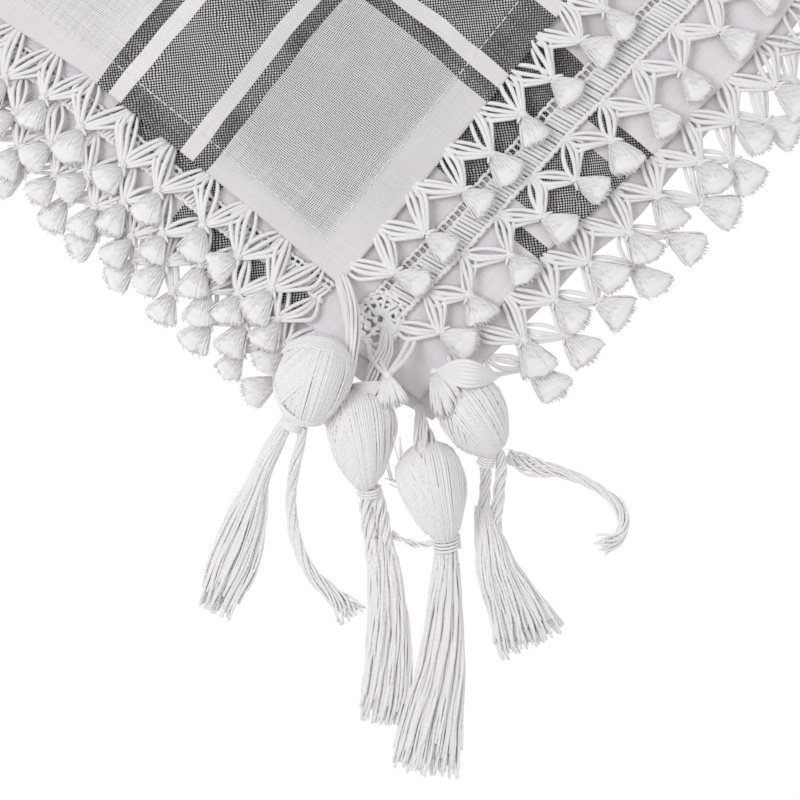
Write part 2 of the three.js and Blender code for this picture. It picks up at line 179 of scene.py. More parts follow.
CORDS = (
    dict(name="2 left", strands=14, radius=0.5, turns=1.3, points=(
        (-41.5, -44.5, 7, 3, 4), (-46, -47.4, 4, 4.4, 4), (-51, -52.6, 0.9, 4.8, 4),
        (-58.2, -60.2, 0.8, 5, 4), (-64, -66, 1, 6, 4.4))),
    dict(name="2 right", strands=14, radius=0.5, turns=1.2, points=(
        (-40.5, -47, 7, 3, 4), (-43.6, -50.6, 4, 4.4, 4), (-48.4, -56, 0.9, 4.8, 4),
        (-55, -63.4, 0.8, 5, 4), (-61, -70, 1, 6, 4.4))),
    dict(name="4 left", strands=13, radius=0.48, turns=1.6, points=(
        (-10.5, -66.2, 9, 3, 4), (-14.5, -68, 5.5, 3.6, 3.8), (-18.4, -71.2, 1.5, 3.8, 3.8),
        (-23.4, -74.8, 0.8, 3.8, 3.8),
        (-29.6, -79.8, 0.8, 4, 3.8), (-34, -85.6, 1, 5, 4))),
    dict(name="4 right", strands=13, radius=0.48, turns=1.6, points=(
        (-8.5, -68.5, 9, 3, 4), (-11, -71.2, 5.5, 3.6, 3.8), (-15.5, -74.5, 1.5, 3.8, 3.8),
        (-21.5, -78.6, 0.8, 4, 3.8),
        (-28, -83, 0.8, 4.2, 3.8), (-33, -89, 1, 5, 4))),
)
SKIRTS = (
    dict(name="1", strands=110, radius=0.48, turns=0.16, points=(
        (-39, -13.5, 17, 4, 4), (-43.5, -14.2, 13.8, 4.6, 4.6), (-52, -15.6, 7.5, 5.2, 4.8),
        (-61, -18, 2.4, 7, 5.6),
        (-70, -21.5, 0.4, 12, 6), (-84, -27, 0.2, 15.5, 6), (-95, -31, 0.2, 13, 5),
        (-101, -33, 0.2, 12, 4.5))),
    dict(name="2", strands=130, radius=0.48, turns=0.12, points=(
        (-51, -56.5, 0.6, 7, 4), (-58, -64, 0.3, 10, 5.6), (-69, -74.5, 0.2, 13, 7.2),
        (-81, -84, 0.2, 15, 6.4),
        (-90, -90, 0.2, 16, 5), (-95, -93, 0.2, 16, 4.5))),
    dict(name="3", strands=170, radius=0.48, turns=0.14, points=(
        (-38, -71.5, 6, 5, 5), (-41.5, -74.8, 3.6, 6.6, 6.4), (-47, -79, 1, 8.5, 7),
        (-55, -85, 0.3, 11, 7), (-69, -95, 0.2, 15, 7.2),
        (-84.5, -104, 0.2, 19, 6.2), (-94, -110, 0.2, 22, 5), (-99, -113, 0.2, 23, 4.5))),
    dict(name="4", strands=130, radius=0.48, turns=0.14, points=(
        (-24.2, -74.4, 0.6, 4.6, 3.8), (-30.6, -82.4, 0.4, 8.5, 5.6), (-37, -91, 0.2, 13, 7),
        (-42, -101.5, 0.2, 18, 6),
        (-46.2, -110, 0.2, 23, 4.6), (-48, -114, 0.2, 24, 4))),
)
STRAYS = (
    dict(name="1", strands=18, radius=0.46, turns=1.8, flare=1.8, points=(
        (-39.5, -18.5, 17, 3, 3), (-43.5, -20.7, 13, 3.2, 3.4), (-52, -24.6, 6.4, 3.4, 3.6),
        (-60, -29.5, 0.9, 3.6, 3.4),
        (-68, -38, 0.3, 3.8, 3.4), (-72.5, -47, 0.3, 4.2, 3.4), (-73.8, -56, 0.3, 5, 3.4),
        (-74.5, -62, 0.3, 5.8, 3),
        (-75.6, -66.5, 0.3, 6.8, 2.8))),
    dict(name="3", strands=5, radius=0.36, turns=1.5, flare=1.0, points=(
        (-40, -72.5, 6, 2, 2), (-43.3, -69.8, 3, 2.2, 2.2), (-46.4, -66.6, 0.8, 2.3, 2.2),
        (-48.2, -62, 0.4, 2, 2),
        (-48.6, -58.4, 0.4, 2.4, 1.6))),
    dict(name="4", strands=12, radius=0.46, turns=1.8, flare=1.6, points=(
        (-8, -71, 6, 5, 3), (-7.2, -75, 1.2, 6, 3), (-5.1, -81, 0.5, 6.4, 3),
        (-1, -88.8, 0.3, 3.6, 3), (1.5, -99.5, 0.3, 3.2, 2.8),
        (1, -107.6, 0.3, 4, 2.8), (-2.4, -112, 0.3, 4.2, 2.8), (-7.4, -112.8, 0.3, 4.4, 2.8),
        (-13, -109.6, 0.3, 5, 2.4))),
)

# Whippings: centre, the way the bundle runs there, radius, turns and length.
WHIPS = (
    dict(x=-40.8, y=-15.8, z=17.8, dx=-0.93, dy=-0.3, dz=-0.45, radius=2.9, turns=4, length=2.8),
    dict(x=-42.3, y=-45.6, z=8.2, dx=-0.755, dy=-0.657, dz=-0.5, radius=3.4, turns=3, length=3.0),
    dict(x=-39.8, y=-73.4, z=7.4, dx=-0.7, dy=-0.72, dz=-0.35, radius=3.9, turns=4, length=4.4),
    dict(x=-12.6, y=-66.9, z=8.6, dx=-0.8, dy=-0.3, dz=-0.55, radius=2.4, turns=5, length=4.8),
    dict(x=-18.8, y=-26.8, z=12.4, dx=-0.755, dy=-0.657, dz=0.1, radius=5.2, turns=5, length=3.6),
)

# Single threads that hang between the second and the third bulb.
LOOSE_THREADS = (
    ((-25, -41, 17), (-29, -45, 15), (-33, -50.5, 9), (-35.5, -48.5, 6), (-33.5, -45, 10)),
    ((-24, -42.5, 17), (-28.5, -46.5, 13), (-32, -51.5, 8), (-34.5, -51, 5), (-36.5, -47, 6)),
    ((-26.5, -40.5, 16), (-31, -43.8, 14), (-35, -47.8, 8), (-35.5, -50.5, 5), (-32, -50, 8)),
    ((-25, -43.5, 18), (-30, -48.5, 13), (-33.5, -53, 6), (-36, -52, 4), (-37, -49, 4.5)),
)

# Where each heading of the second layer starts, its width, and the width of its row of holes.
HEADINGS = (
    dict(side="front", start=5, width=11.8, second=2.9),
    dict(side="side", start=1, width=7.5, second=2.0),
)

FRINGE_PITCH = 14.35           # from knot to knot
KNOT_SIZE = (1.6, 1.6, 1.4)    # of the two large knots at given places
YARN_LYING = 0.42              # radius of the yarn wound on bulbs and in whippings
RANDOM = np.random.default_rng(7)

# ---- curves and places --------------------------------------------------------------------


def look_up(rows, along, column):
    """Eased value of a column between the rows of a table."""
    along = np.asarray(along, float)
    places = rows["along"]
    row = np.clip(np.searchsorted(places, along) - 1, 0, len(places) - 2)
    t = np.clip((along - places[row]) / (places[row + 1] - places[row]), 0, 1)
    eased = t * t * (3 - 2 * t)
    return rows[column][row] + (rows[column][row + 1] - rows[column][row]) * eased


def front_edge(layer, x):
    """Where the layer's front edge runs."""
    return -look_up(FRONT_EDGES, x, f"layer{layer}")


def side_edge(layer, y):
    """Where the layer's side edge runs."""
    return -look_up(SIDE_EDGES, y, f"layer{layer}")


def layer_grid(layer, u, v, inset=(0.0, 0.0)):
    """Places of a layer: u from the free side edge to the fold, v from the front edge to the fold."""
    u, v = np.meshgrid(u, v, indexing="ij")
    x, y = FOLD_X * u, FOLD_Y * v
    for _ in range(4):             # each edge bends with the other, so both are closed in on
        left = side_edge(layer, y) + inset[0]
        front = front_edge(layer, x) + inset[1]
        x = left + (FOLD_X - left) * u
        y = front + (FOLD_Y - front) * v
    return x, y


def ripple_height(x, y):
    """How far the top layer's soft undulations lift it."""
    height = np.zeros_like(x)
    for i in range(len(RIPPLES["x"])):
        row = {name: values[i] for name, values in RIPPLES.items()}
        turn = math.radians(row["heading"])
        dx, dy = x - row["x"], y - row["y"]
        lengthwise = (dx * math.cos(turn) + dy * math.sin(turn)) / row["length"]
        crosswise = (dy * math.cos(turn) - dx * math.sin(turn)) / row["width"]
        height += row["height"] * np.exp(-lengthwise ** 2 - crosswise ** 2)
    return height


def edge_place(layer, side, along, outward, z):
    """Points beside a layer's free edge, outward of it."""
    along, outward, z = np.broadcast_arrays(along, outward, z)
    if side == "front":
        return np.stack([along, front_edge(layer, along) - outward, z], axis=-1)
    return np.stack([side_edge(layer, along) - outward, along, z], axis=-1)


def smooth_path(points, steps):
    """A smooth line through rows of numbers, evenly spaced along x, y and z."""
    points = np.asarray(points, float)
    ends = [2 * points[0] - points[1], *points, 2 * points[-1] - points[-2]]
    p = np.array(ends)
    t = np.linspace(0, 1, 13)[:-1, None]
    pieces = []
    for i in range(len(points) - 1):
        a, b, c, d = p[i], p[i + 1], p[i + 2], p[i + 3]
        pieces.append(0.5 * (2 * b + (c - a) * t + (2 * a - 5 * b + 4 * c - d) * t ** 2
                             + (3 * b - a - 3 * c + d) * t ** 3))
    fine = np.vstack([*pieces, points[-1:]])
    gaps = np.linalg.norm(np.diff(fine[:, :3], axis=0), axis=1)
    length = np.concatenate([[0], np.cumsum(gaps)])
    even = np.linspace(0, length[-1], steps)
    return np.stack([np.interp(even, length, column) for column in fine.T], axis=1)


def unit(vectors):
    """The same directions at length 1."""
    return vectors / np.maximum(np.linalg.norm(vectors, axis=-1, keepdims=True), 1e-9)


# ---- mesh making --------------------------------------------------------------------------


class Shape:
    """Collects points and faces, in millimetres, with a pair of numbers at every face corner."""

    def __init__(self):
        self.points, self.quads, self.quad_uvs = [], [], []
        self.tris, self.tri_uvs = [], []
        self.count = 0

    def add(self, points, quads, quad_uvs, tris=None, tri_uvs=None):
        self.points.append(points.reshape(-1, 3))
        self.quads.append(quads.reshape(-1, 4) + self.count)
        self.quad_uvs.append(quad_uvs.reshape(-1, 4, 2))
        if tris is not None:
            self.tris.append(tris.reshape(-1, 3) + self.count)
            self.tri_uvs.append(tri_uvs.reshape(-1, 3, 2))
        self.count += points.size // 3

    def loft(self, rings, tips, lengths):
        """Closed skins through rings of points, given as (skin, ring, point, xyz)."""
        skins, steps, sides = rings.shape[:3]
        own = steps * sides + 2
        points = np.concatenate([rings.reshape(skins, -1, 3), tips], axis=1)
        i, s = np.meshgrid(np.arange(steps - 1), np.arange(sides), indexing="ij")
        after = (s + 1) % sides
        near, far = i * sides, (i + 1) * sides
        quads = np.stack([near + s, far + s, far + after, near + after], -1)
        first = np.arange(skins)[:, None, None] * own
        quads = quads.reshape(1, -1, 4) + first
        v = np.stack([s, s, s + 1, s + 1], -1).reshape(1, -1, 4) / sides
        ring_of = np.stack([i, i + 1, i + 1, i], -1).reshape(-1, 4)
        u = lengths[:, ring_of]
        quad_uvs = np.stack([u, np.broadcast_to(v, u.shape)], -1)
        s = np.arange(sides)
        after = (s + 1) % sides
        last = (steps - 1) * sides
        start = np.stack([np.full(sides, own - 2), s, after], -1)
        end = np.stack([np.full(sides, own - 1), last + after, last + s], -1)
        tris = np.concatenate([start, end])[None] + first
        v = np.stack([s + 0.5, s, s + 1], -1) / sides
        v = np.concatenate([v, v[:, [0, 2, 1]]])
        u = np.repeat(lengths[:, [0, -1]], sides, axis=1)[:, :, None] + 0 * v
        self.add(points, quads, quad_uvs, tris, np.stack([u, np.broadcast_to(v, u.shape)], -1))

    def tubes(self, paths, radii, sides=6, up=(0, 0, 1)):
        """Round strands along paths, given as (strand, point, xyz)."""
        paths = np.asarray(paths, float)
        if paths.ndim == 2:
            paths = paths[None]
        radii = np.broadcast_to(radii, paths.shape[:2])[..., None]
        along = unit(np.gradient(paths, axis=1))
        across = unit(np.cross(along, np.broadcast_to(up, along.shape)))
        over = np.cross(across, along)
        turn = 2 * np.pi * np.arange(sides) / sides
        around = (across[:, :, None] * np.cos(turn)[:, None]
                  + over[:, :, None] * np.sin(turn)[:, None])
        rings = paths[:, :, None] + radii[..., None] * around
        tips = paths[:, [0, -1]] + along[:, [0, -1]] * radii[:, [0, -1]] * np.array([[-0.5], [0.5]])
        gaps = np.linalg.norm(np.diff(paths, axis=1), axis=2)
        lengths = np.concatenate([np.zeros((len(paths), 1)), np.cumsum(gaps, axis=1)], axis=1)
        self.loft(rings, tips, lengths + 10 * np.arange(len(paths))[:, None])

    def slab(self, upper, lower):
        """A closed sheet between two matching grids of points."""
        rows, columns = upper.shape[:2]
        count = rows * columns
        at = np.arange(count).reshape(rows, columns)
        face = np.stack([at[:-1, :-1], at[1:, :-1], at[1:, 1:], at[:-1, 1:]], -1).reshape(-1, 4)
        rim = np.concatenate([at[:-1, 0], at[-1, :-1], at[:0:-1, -1], at[0, :0:-1]])
        after = np.roll(rim, -1)
        edge = np.stack([rim, rim + count, after + count, after], -1)
        quads = np.concatenate([face, face[:, ::-1] + count, edge])
        points = np.concatenate([upper.reshape(-1, 3), lower.reshape(-1, 3)])
        self.add(points, quads, points[quads][..., :2])

    def ellipsoids(self, centres, sizes, rings=5, sides=8):
        """Round lumps: centres and sizes as (lump, xyz)."""
        centres, sizes = np.atleast_2d(centres), np.atleast_2d(sizes)
        turn = np.pi * (np.arange(rings) + 1) / (rings + 1)
        level = -np.cos(turn)
        share = np.sin(turn)
        around = 2 * np.pi * np.arange(sides) / sides
        unit_rings = np.stack([
            share[:, None] * np.cos(around), -share[:, None] * np.sin(around),
            np.repeat(level[:, None], sides, 1)], -1)
        rings_at = centres[:, None, None] + sizes[:, None, None] * unit_rings
        tips = centres[:, None] + sizes[:, None] * np.array([[0, 0, -1.0], [0, 0, 1.0]])
        lengths = np.broadcast_to(turn * sizes[:, 2:], (len(centres), rings))
        self.loft(rings_at, tips, lengths)

    def build(self, name, material, slot, replaced):
        """One finished object, standing for CAD nodes and moving with the root."""
        mesh = bpy.data.meshes.new(name)
        points = (np.concatenate(self.points) + SHIFT) * MM
        quads = np.concatenate(self.quads)
        corners = [quads.ravel()]
        uvs = [np.concatenate(self.quad_uvs).reshape(-1, 2)]
        starts = [np.arange(len(quads)) * 4]
        if self.tris:
            tris = np.concatenate(self.tris)
            corners.append(tris.ravel())
            uvs.append(np.concatenate(self.tri_uvs).reshape(-1, 2))
            starts.append(quads.size + np.arange(len(tris)) * 3)
        corners, starts = np.concatenate(corners), np.concatenate(starts)
        mesh.vertices.add(len(points))
        mesh.vertices.foreach_set("co", points.ravel())
        mesh.loops.add(len(corners))
        mesh.loops.foreach_set("vertex_index", corners.astype(np.int32))
        mesh.polygons.add(len(starts))
        mesh.polygons.foreach_set("loop_start", starts.astype(np.int32))
        mesh.update(calc_edges=True)
        mesh.polygons.foreach_set("use_smooth", np.ones(len(starts), bool))
        layer = mesh.uv_layers.new(name="Yarn")
        layer.data.foreach_set("uv", (np.concatenate(uvs) * MM).ravel())
        mesh.materials.append(material)
        mesh.validate()
        piece = bpy.data.objects.new(name, mesh)
        bpy.context.collection.objects.link(piece)
        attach(piece, "root")
        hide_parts(*replaced)
        return piece


# ---- cloth --------------------------------------------------------------------------------

CLOTH_THICK = 0.5
HEM_SIDE, HEM_FRONT = 8.5, 12.5
CURL_STEPS = 9                 # points round each fold


def spread(cells):
    """Shares from 0 to 1, closer together near the corner."""
    return (np.arange(cells + 1) / cells) ** 1.3


def curled(cells, curl_x, curl_y):
    """Shares along a sheet and the angle of its turn over each fold."""
    flat = spread(cells)
    u = np.concatenate([flat, np.ones(CURL_STEPS if curl_x else 0)])
    v = np.concatenate([flat, np.ones(CURL_STEPS if curl_y else 0)])
    turn = np.pi * np.arange(1, CURL_STEPS + 1) / CURL_STEPS
    turn_u = np.concatenate([np.zeros(cells + 1), turn if curl_x else []])
    turn_v = np.concatenate([np.zeros(cells + 1), turn if curl_y else []])
    return u, v, turn_u, turn_v


def cloth(layer, cells, drop_x, drop_y, inset, ripple, hem, fold_inset=0.0):
    """A quarter of the cloth, turned down over its folds by drop_x and drop_y.

    A hem thickens a layer. Where the layer has no ripples, its underside stays level.
    """
    u, v, turn_u, turn_v = curled(cells, drop_x, drop_y)
    x, y = layer_grid(layer, u, v, inset)
    x, y = x - fold_inset * u[:, None], y - fold_inset * v
    turn_u, turn_v = np.meshgrid(turn_u, turn_v, indexing="ij")
    fade = np.clip((FOLD_X - x) / 30, 0, 1) * np.clip((FOLD_Y - y) / 30, 0, 1)
    rise = ripple * ripple_height(x, y) * fade
    if hem:
        inner = np.minimum(x - side_edge(layer, y) - HEM_SIDE, y - front_edge(layer, x) - HEM_FRONT)
        rise = rise + 0.3 * np.clip(0.5 - inner, 0, 1)
    wave = 0.12 * np.sin(x / 9 + 1.3 * np.sin(y / 17)) * np.sin(y / 11 + 0.8 * np.sin(x / 13)) * fade

    def surface(offset):
        rx, ry = drop_x / 2 + offset, drop_y / 2 + offset
        down = np.maximum(rx * (1 - np.cos(turn_u)), ry * (1 - np.cos(turn_v)))
        lift = 0 if offset < 0 and hem and ripple == 0 else rise
        z = LAYER_MIDDLE[layer] + offset + lift + wave - down
        return np.stack([x + rx * np.sin(turn_u), y + ry * np.sin(turn_v), z], -1)

    shape = Shape()
    shape.slab(surface(CLOTH_THICK / 2), surface(-CLOTH_THICK / 2))
    return shape


# ---- fringe -------------------------------------------------------------------------------

# The cut puff from its knot to its end, as shares of its length, width and height.
PUFF_PROFILE = table(
    "along wide high",
    (0.0, 0.24, 0.40),
    (0.10, 0.30, 0.48),
    (0.24, 0.42, 0.62),
    (0.42, 0.60, 0.76),
    (0.60, 0.76, 0.86),
    (0.76, 0.89, 0.90),
    (0.90, 0.98, 0.84),
    (0.97, 0.96, 0.66),
    (1.0, 0.80, 0.36),
)
FINE_REACH = 140.0             # nearer the tassels than this, the fringe has all its threads


def fringe_row(shape, layer, side, start, far, tuck, knot, knots, size=1.1):
    """Looped threads drawn into knots along one edge, each knot with its cut puff."""
    fold = FOLD_X if side == "front" else FOLD_Y
    places = list(knots)
    while places[-1] + 1.4 * FRINGE_PITCH < fold:
        places.append(places[-1] + FRINGE_PITCH + RANDOM.uniform(-1.2, 1.2))
    places = np.array(places, float)
    between = (places[1:] + places[:-1]) / 2
    first = max(places[0] - FRINGE_PITCH / 2, start + 0.5)
    ends = np.concatenate([[first], between, [min(places[-1] + FRINGE_PITCH / 2, fold - 1)]])
    low, high = YARN_START[layer], far + 1.0
    for i, place in enumerate(places):
        fine = place < FINE_REACH
        reach = knot + RANDOM.uniform(-1.0, 1.0)
        tie = np.array([place, reach, high + RANDOM.uniform(-0.2, 0.3)])
        for end, way in ((ends[i], -1), (ends[i + 1], 1)):
            leg(shape, layer, side, np.array([end - 0.5 * way, -tuck, low]), tie, way, fine)
        puff(shape, layer, side, tie, fine, size)


def leg(shape, layer, side, root, tie, way, fine):
    """Soft threads bowed out like a petal between the cloth and a knot."""
    count = 4 if fine else 3
    t = np.linspace(0, 1, 9 if fine else 5)
    share = np.arange(count) / (count - 1)
    bow = (-1.1 + 4.7 * share + RANDOM.uniform(-0.5, 0.5, count)) * RANDOM.uniform(0.8, 1.2)
    lift = 0.5 + 1.2 * np.sin(np.pi * share) + RANDOM.uniform(-0.3, 0.5, count)
    hump = np.sin(np.pi * t) ** 0.85
    base = root + (tie - root) * t[:, None]
    spread_at_ends = (share - 0.5)[:, None] * (2.0 * (1 - t) + 1.3 * t)
    skew = RANDOM.uniform(-0.25, 0.25, (count, 1)) * np.sin(2 * np.pi * t)
    along = base[:, 0] + way * (bow[:, None] * hump + spread_at_ends) + skew
    outward = base[:, 1] + 0.18 * bow[:, None] * np.sin(2 * np.pi * t) + skew
    z = base[:, 2] + lift[:, None] * hump + RANDOM.uniform(-0.2, 0.2, (count, 1))
    radius = 0.74 * (0.7 + 0.3 * hump) * RANDOM.uniform(0.85, 1.1, (count, 1))
    shape.tubes(edge_place(layer, side, along, outward, z), radius, sides=6 if fine else 4)


def puff(shape, layer, side, tie, fine, size):
    """A small tight knot, its tag, and the fan of cut yarn beyond it."""
    turn = RANDOM.uniform(-0.4, 0.4)
    length = size * RANDOM.uniform(8.6, 10.4)
    wide, high = size * RANDOM.uniform(4.0, 5.0), size * RANDOM.uniform(1.8, 2.2)
    rows = {name: values[:, None] for name, values in PUFF_PROFILE.items()}
    sides = 24 if fine else 12
    around = 2 * np.pi * np.arange(sides) / sides
    ragged = 1 + 0.04 * np.sin(2 * around + RANDOM.uniform(0, 6)) + RANDOM.uniform(-0.03, 0.03, sides)
    ridges = 1 + 0.05 * np.sin(5 * around + RANDOM.uniform(0, 6)) * rows["along"]
    across = rows["wide"] * wide * np.cos(around) * ridges
    over = rows["high"] * high * np.sin(around) * ridges
    ahead = length * rows["along"] * (1 + (ragged - 1) * rows["along"] ** 2)
    ahead = ahead - 1.5 * rows["along"] ** 3 * np.abs(np.cos(around)) ** 2

    def placed(ahead, across, over):
        along = tie[0] + across * math.cos(turn) + ahead * math.sin(turn)
        outward = tie[1] + ahead * math.cos(turn) - across * math.sin(turn)
        z = np.maximum(tie[2] + over + 0.04 * ahead, 0.05)
        return edge_place(layer, side, along, outward, z)

    rings = placed(ahead, across, over)
    if side == "side":
        rings = rings[:, ::-1]
    tips = np.stack([placed(-0.6, 0.0, 0.0), placed(length, 0.0, 0.0)])
    shape.loft(rings[None], tips[None], length * PUFF_PROFILE["along"][None])
    count = 66 if fine else 12
    angle = 2 * np.pi * (np.arange(count) + RANDOM.uniform(-0.4, 0.4, count)) / (0.7 * count)
    outer, inner = RANDOM.uniform(0.9, 1.04, count), RANDOM.uniform(0.2, 0.85, count)
    depth = np.where(np.arange(count) < 0.7 * count, outer, inner)
    t = np.array([0.08, 0.45, 0.85, 1.0])
    widths = np.interp(t, PUFF_PROFILE["along"][:-2], PUFF_PROFILE["wide"][:-2])
    highs = np.interp(t, PUFF_PROFILE["along"][:-2], PUFF_PROFILE["high"][:-2]) - 0.25 * t ** 4
    stretch = RANDOM.uniform(0.92, 1.1, count) * (1 - 0.15 * (depth * np.cos(angle)) ** 2)
    bend = RANDOM.uniform(-0.5, 0.5, count) * t[:, None] ** 3
    fibres = placed(length * t[:, None] * stretch, wide * widths[:, None] * np.cos(angle) * depth + bend,
                    high * highs[:, None] * np.sin(angle) * depth)
    thick = 0.4 if fine else 0.6
    shape.tubes(np.moveaxis(fibres, 0, 1), thick * np.array([0.7, 1, 0.9, 0.3]), sides=3)
    knot_turns = np.linspace(0, 2 * np.pi * 2.2, 13)
    wrap = placed(-0.9 + 1.5 * knot_turns / knot_turns[-1],
                  1.25 * np.cos(knot_turns), 1.05 * np.sin(knot_turns))
    shape.tubes(wrap, 0.5, sides=5, up=(0.3, 0.2, 1))
    sign = RANDOM.choice([-1, 1])
    tag = placed(np.array([0.1, 0.8, 1.5]), sign * np.array([0.9, 1.9, 2.7]), np.array([0.8, 1.1, 1.0]))
    shape.tubes(tag, np.array([0.5, 0.5, 0.38]), sides=5)


# ---- heading ------------------------------------------------------------------------------


HEADING_TOP = 3.75             # height of the chains' middle
STITCH = 1.9                   # length of a chain's stitch


def heading_band(layer, side, start, width, second):
    """Chains, small holes and slanted rungs that finish an edge and carry its fringe."""
    shape = Shape()
    fold = FOLD_X if side == "front" else FOLD_Y
    chains = ((width - 0.5, 0.62, 0.3), (width - second - 0.3, 0.58, 0.3), (0.75, 0.85, 0.28))
    for inward, radius, depth in chains:
        along = np.arange(start, fold - 1, STITCH / 4)
        beat = 2 * np.pi * along / STITCH
        path = edge_place(layer, side, along, -inward + 0.16 * np.sin(beat / 2),
                          HEADING_TOP + 0.12 * np.sin(beat))
        shape.tubes(path, radius * (1 + depth * np.cos(beat)), sides=5)
    along = np.arange(start + 0.9, fold - 2, STITCH)
    t = np.linspace(0, 1, 3)
    outward = -width + 0.5 + (second - 0.2) * t
    bars = edge_place(layer, side, along[:, None], outward, HEADING_TOP)
    shape.tubes(bars, 0.36, sides=4)
    along = np.arange(start + 0.6, fold - 3, 1.3)
    along = along + RANDOM.uniform(-0.12, 0.12, len(along))
    t = np.linspace(0, 1, 4)
    inner, outer = -width + second + 0.4, -1.0
    rungs = edge_place(layer, side, along[:, None] + 1.3 * t, inner + (outer - inner) * t,
                       HEADING_TOP + 0.3 * np.sin(np.pi * t))
    shape.tubes(rungs, 0.6, sides=5)
    return shape


def corner_crochet():
    """The round of loops that closes the second layer's corner, and the open V beside it."""
    shape = Shape()
    centre_x, centre_y = -0.4, -15.7
    turn = np.linspace(0, 2 * np.pi, 72)
    rounds = ((1.3, 5, 0.5, 0.5, -0.3), (2.9, 7, 0.6, -0.2, 0.4), (4.6, 11, 0.5, 0.2, 0.1),
              (6.2, 15, 0.1, -0.3, -0.2), (7.0, 19, -0.2, 0.2, 0.0))
    for radius, loops, height, east, north in rounds:
        ring = radius * (1 + 0.1 * np.sin(2 * turn + radius)) + 0.7 * np.abs(np.sin(loops * turn / 2 + radius))
        path = np.stack([centre_x + east + ring * np.cos(turn), centre_y + north + ring * np.sin(turn),
                         4.0 + height + 0.35 * np.cos(loops * turn)], -1)
        shape.tubes(path, 0.6 * (1 + 0.25 * np.cos(loops * turn)), sides=6)
    spokes = np.sort(RANDOM.uniform(0, 2 * np.pi, 15))[:, None]
    t = np.linspace(0, 1, 5)
    reach = 1.2 + 5.4 * t
    lean = RANDOM.uniform(-0.5, 0.7, (15, 1)) * t
    paths = np.stack([centre_x + reach * np.cos(spokes + lean), centre_y + reach * np.sin(spokes + lean),
                      4.5 + 0.4 * np.sin(np.pi * t) + 0 * spokes], -1)
    shape.tubes(paths, 0.55, sides=6)
    knot = (-12.2, -28.3)
    for root, way in (((-8.0, -17.8), 1), ((-8.8, -18.8), -0.3), ((1.2, -26.0), -0.3), ((1.9, -27.6), -1)):
        t = np.linspace(0, 1, 10)
        x = root[0] + (knot[0] - root[0]) * t
        y = root[1] + (knot[1] - root[1]) * t
        bow = 1.3 * way * np.sin(np.pi * t)
        shape.tubes(np.stack([x - bow, y + bow, 4.4 + 11.2 * t ** 1.2], -1), 0.78, sides=7)
    shape.ellipsoids([(*knot, 15.6)], [KNOT_SIZE])
    count = 90
    aim, height = RANDOM.uniform(-1, 1, count), RANDOM.uniform(-0.9, 0.9, count)
    t = np.linspace(0, 1, 5)[:, None]
    wide = 0.8 + 4.2 * t ** 0.8
    ahead = 9.2 * t * RANDOM.uniform(0.9, 1.08, count) * (1 - 0.12 * aim ** 2)
    fibres = np.stack([-12.4 - 0.66 * ahead + 0.75 * aim * wide, -28.5 - 0.75 * ahead - 0.66 * aim * wide,
                       15.8 + 1.7 * height * (0.4 + 0.6 * t) + 3.0 * t - 1.2 * t ** 2], -1)
    shape.tubes(np.moveaxis(fibres, 0, 1), np.array([0.5, 0.5, 0.5, 0.42, 0.14]), sides=4)
    return shape


def hem_stitches():
    """The sewing thread that shows along the top layer's two hems."""
    shape = Shape()
    length = np.linspace(0, 1.9, 4)
    for side, inward, fold in (("side", HEM_SIDE - 0.3, FOLD_Y), ("front", HEM_FRONT - 0.6, FOLD_X)):
        along = np.arange(inward + 2, fold - 12, 2.9)[:, None] + length
        path = edge_place(1, side, along, -inward, 0.0)
        path[..., 2] = LAYER_MIDDLE[1] + 0.5 * CLOTH_THICK + 0.3 * np.sin(np.pi * length / 1.9)
        path[..., 2] += 0.1 + ripple_height(path[..., 0], path[..., 1])
        shape.tubes(path, 0.2, sides=5)
    return shape


def draped(shape, routes, radius, steps=18, wander=0.0):
    """Single yarns along given routes."""
    for route in routes:
        path = smooth_path(np.array(route, float), steps)
        t = np.linspace(0, 1, steps)
        for axis in range(2):
            sway = np.sin(RANDOM.uniform(5, 12) * t + RANDOM.uniform(0, 6))
            path[:, axis] += wander * sway * np.sin(np.pi * t)
        shape.tubes(path, radius * (1 - 0.4 * np.clip(t - 0.85, 0, 1) * 6), sides=6)


# ---- tassels ------------------------------------------------------------------------------


CORE_INSET = 0.9               # how far a bulb's core lies under the outermost winding


def bulb_axes(row):
    """The bulb's own directions: along it, level across it, and up."""
    ahead = unit(np.array([row["dx"], row["dy"], row["dz"]], float))
    across = unit(np.cross(np.array([0, 0, 1.0]), ahead))
    return ahead, across, np.cross(ahead, across)


def on_bulb(row, direction, lift):
    """Points of the egg in these directions: direction is (along, across, up)."""
    ahead, across, up = bulb_axes(row)
    d = unit(direction)
    t = d[..., 0:1]
    radius = (row["radius"] - CORE_INSET + lift) * (1 - row["taper"] * t)
    place = (np.array([row["x"], row["y"], row["z"]]) + ahead * t * (row["half"] - CORE_INSET + lift)
             + radius * (d[..., 1:2] * across + d[..., 2:3] * up))
    lowest = 0.5 + 0.3 * lift[..., 0] if np.ndim(lift) else 0.5    # so that no winding dips too low
    place[..., 2] = np.maximum(place[..., 2], lowest)
    return place


